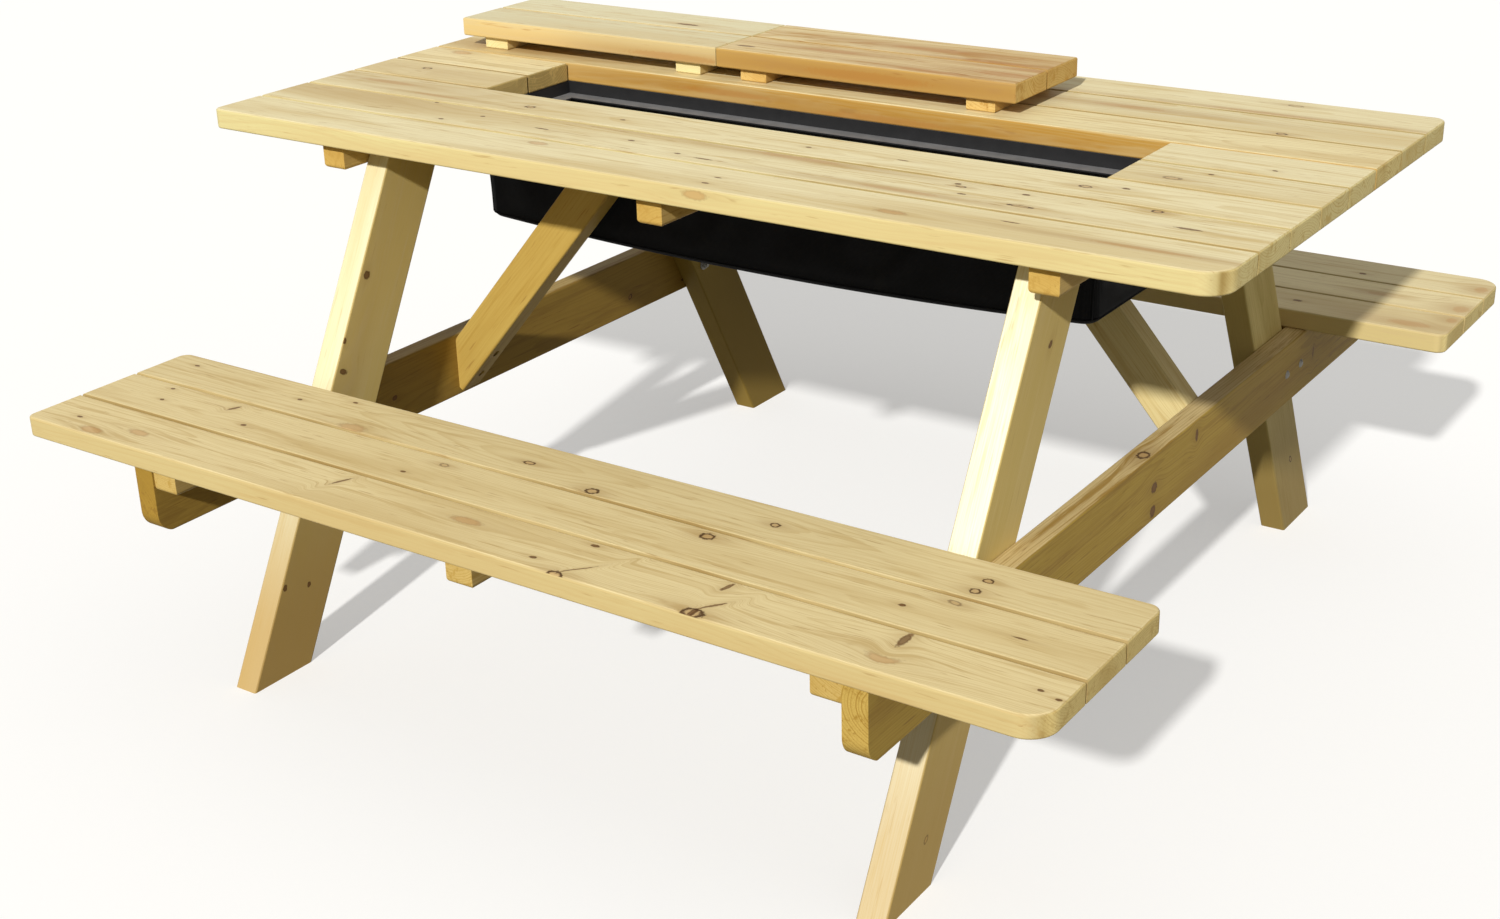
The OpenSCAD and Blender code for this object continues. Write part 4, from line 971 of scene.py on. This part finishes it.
# %% [markdown]
# ## Camera
#
# The camera stands in front and to the right, 2.7 m from the middle of the table and about 1.4 m high. The
# numbers were solved from the corners of the top, the benches and the opening, so that the drawn edges fall
# where the photographed ones do. A slight roll belongs to it.

# %% Place the camera
CAMERA_AT = (1.4819, -2.2781, 1.3863)
AZIMUTH, ELEVATION, ROLL = (math.radians(a) for a in (34.8782, 23.3508, -1.5754))
LENS_MM = 49.068
SENSOR_MM = 36.0

level = math.cos(ELEVATION)
back = Vector((math.sin(AZIMUTH) * level, -math.cos(AZIMUTH) * level, math.sin(ELEVATION)))
right = (-back).cross(Vector((0, 0, 1))).normalized()
above = right.cross(-back)
right, above = (right * math.cos(ROLL) + above * math.sin(ROLL),
                above * math.cos(ROLL) - right * math.sin(ROLL))
lens = bpy.data.cameras.new("camera")
lens.lens, lens.sensor_width, lens.sensor_fit = LENS_MM, SENSOR_MM, "HORIZONTAL"
camera = bpy.data.objects.new("camera", lens)
camera.matrix_world = Matrix.Translation(CAMERA_AT) @ Matrix((right, above, back)).transposed().to_4x4()
bpy.context.scene.collection.objects.link(camera)
bpy.context.scene.camera = camera
print("camera at", CAMERA_AT)

# %% [markdown]
# ## Light and floor
#
# The shadows of the top on the legs, of the braces on the bag and of the table on its own rear bench give the
# sun's place: in front and slightly to the right, a third of the way up. So the front edges are the brightest
# faces, the right-hand sides lie in shade and the shadows run to the rear. A pale sky fills them. The floor
# is plain. What the camera sees of it is nearly white, while to the table it is a dark ground that throws
# back little light.

# %% Lamp and sky
SUN_FROM = Vector((0.395, -1.53, 1.0))
SUN_STRENGTH = 3.82
SUN_COLOUR = (1.0, 0.985, 0.95)
SUN_ANGLE = math.radians(2)
SKY = 0.38
SKY_COLOUR = (1.0, 0.97, 0.90, 1)
WHITE = (1, 1, 1, 1)


def seen_directly(w):
    """1 for the camera and for what shines or is clear, 0 for the light that falls on the table."""
    ray = w.node("ShaderNodeLightPath").outputs
    shown = w.math("MAXIMUM", ray["Is Glossy Ray"], ray["Is Transmission Ray"])
    return w.math("MAXIMUM", ray["Is Camera Ray"], shown)


lamp = bpy.data.lights.new("key", "SUN")
lamp.energy, lamp.angle, lamp.color = SUN_STRENGTH, SUN_ANGLE, SUN_COLOUR
key = bpy.data.objects.new("key", lamp)
key.rotation_euler = SUN_FROM.to_track_quat("Z", "Y").to_euler()
bpy.context.scene.collection.objects.link(key)

world = bpy.data.worlds.new("sky")
world.use_nodes = True
bpy.context.scene.world = world
w = Wiring(world.node_tree)
seen = seen_directly(w)
sky = world.node_tree.nodes["Background"]
w.feed(sky.inputs["Color"], w.mix(seen, SKY_COLOUR, WHITE))
w.feed(sky.inputs["Strength"], w.step(seen, 0, 1, SKY, 1.0))
print("sun of", SUN_STRENGTH, "and sky of", SKY)

# %% Floor
FLOOR_HALF = 30.0
FLOOR_TO_TABLE, FLOOR_TO_CAMERA = (0.13, 0.115, 0.05, 1), (0.62, 0.62, 0.62, 1)
FLOOR_GLOW = 0.38
mesh = bpy.data.meshes.new("floor")
mesh.from_pydata([(-FLOOR_HALF, -FLOOR_HALF, 0), (FLOOR_HALF, -FLOOR_HALF, 0), (FLOOR_HALF, FLOOR_HALF, 0),
                  (-FLOOR_HALF, FLOOR_HALF, 0)], [], [(0, 1, 2, 3)])
ground = bpy.data.objects.new("floor", mesh)
bpy.context.scene.collection.objects.link(ground)
pale, w, shader, _ = new_material("pale_floor", 0.9)
seen = seen_directly(w)
w.feed(shader.inputs["Base Color"], w.mix(seen, FLOOR_TO_TABLE, FLOOR_TO_CAMERA))
w.feed(shader.inputs["Emission Strength"], w.math("MULTIPLY", seen, FLOOR_GLOW))
shader.inputs["Emission Color"].default_value = WHITE
shader.inputs["Specular IOR Level"].default_value = 0.0
mesh.materials.append(pale)
bpy.context.scene.view_settings.view_transform = "Standard"
print("light and floor ready")
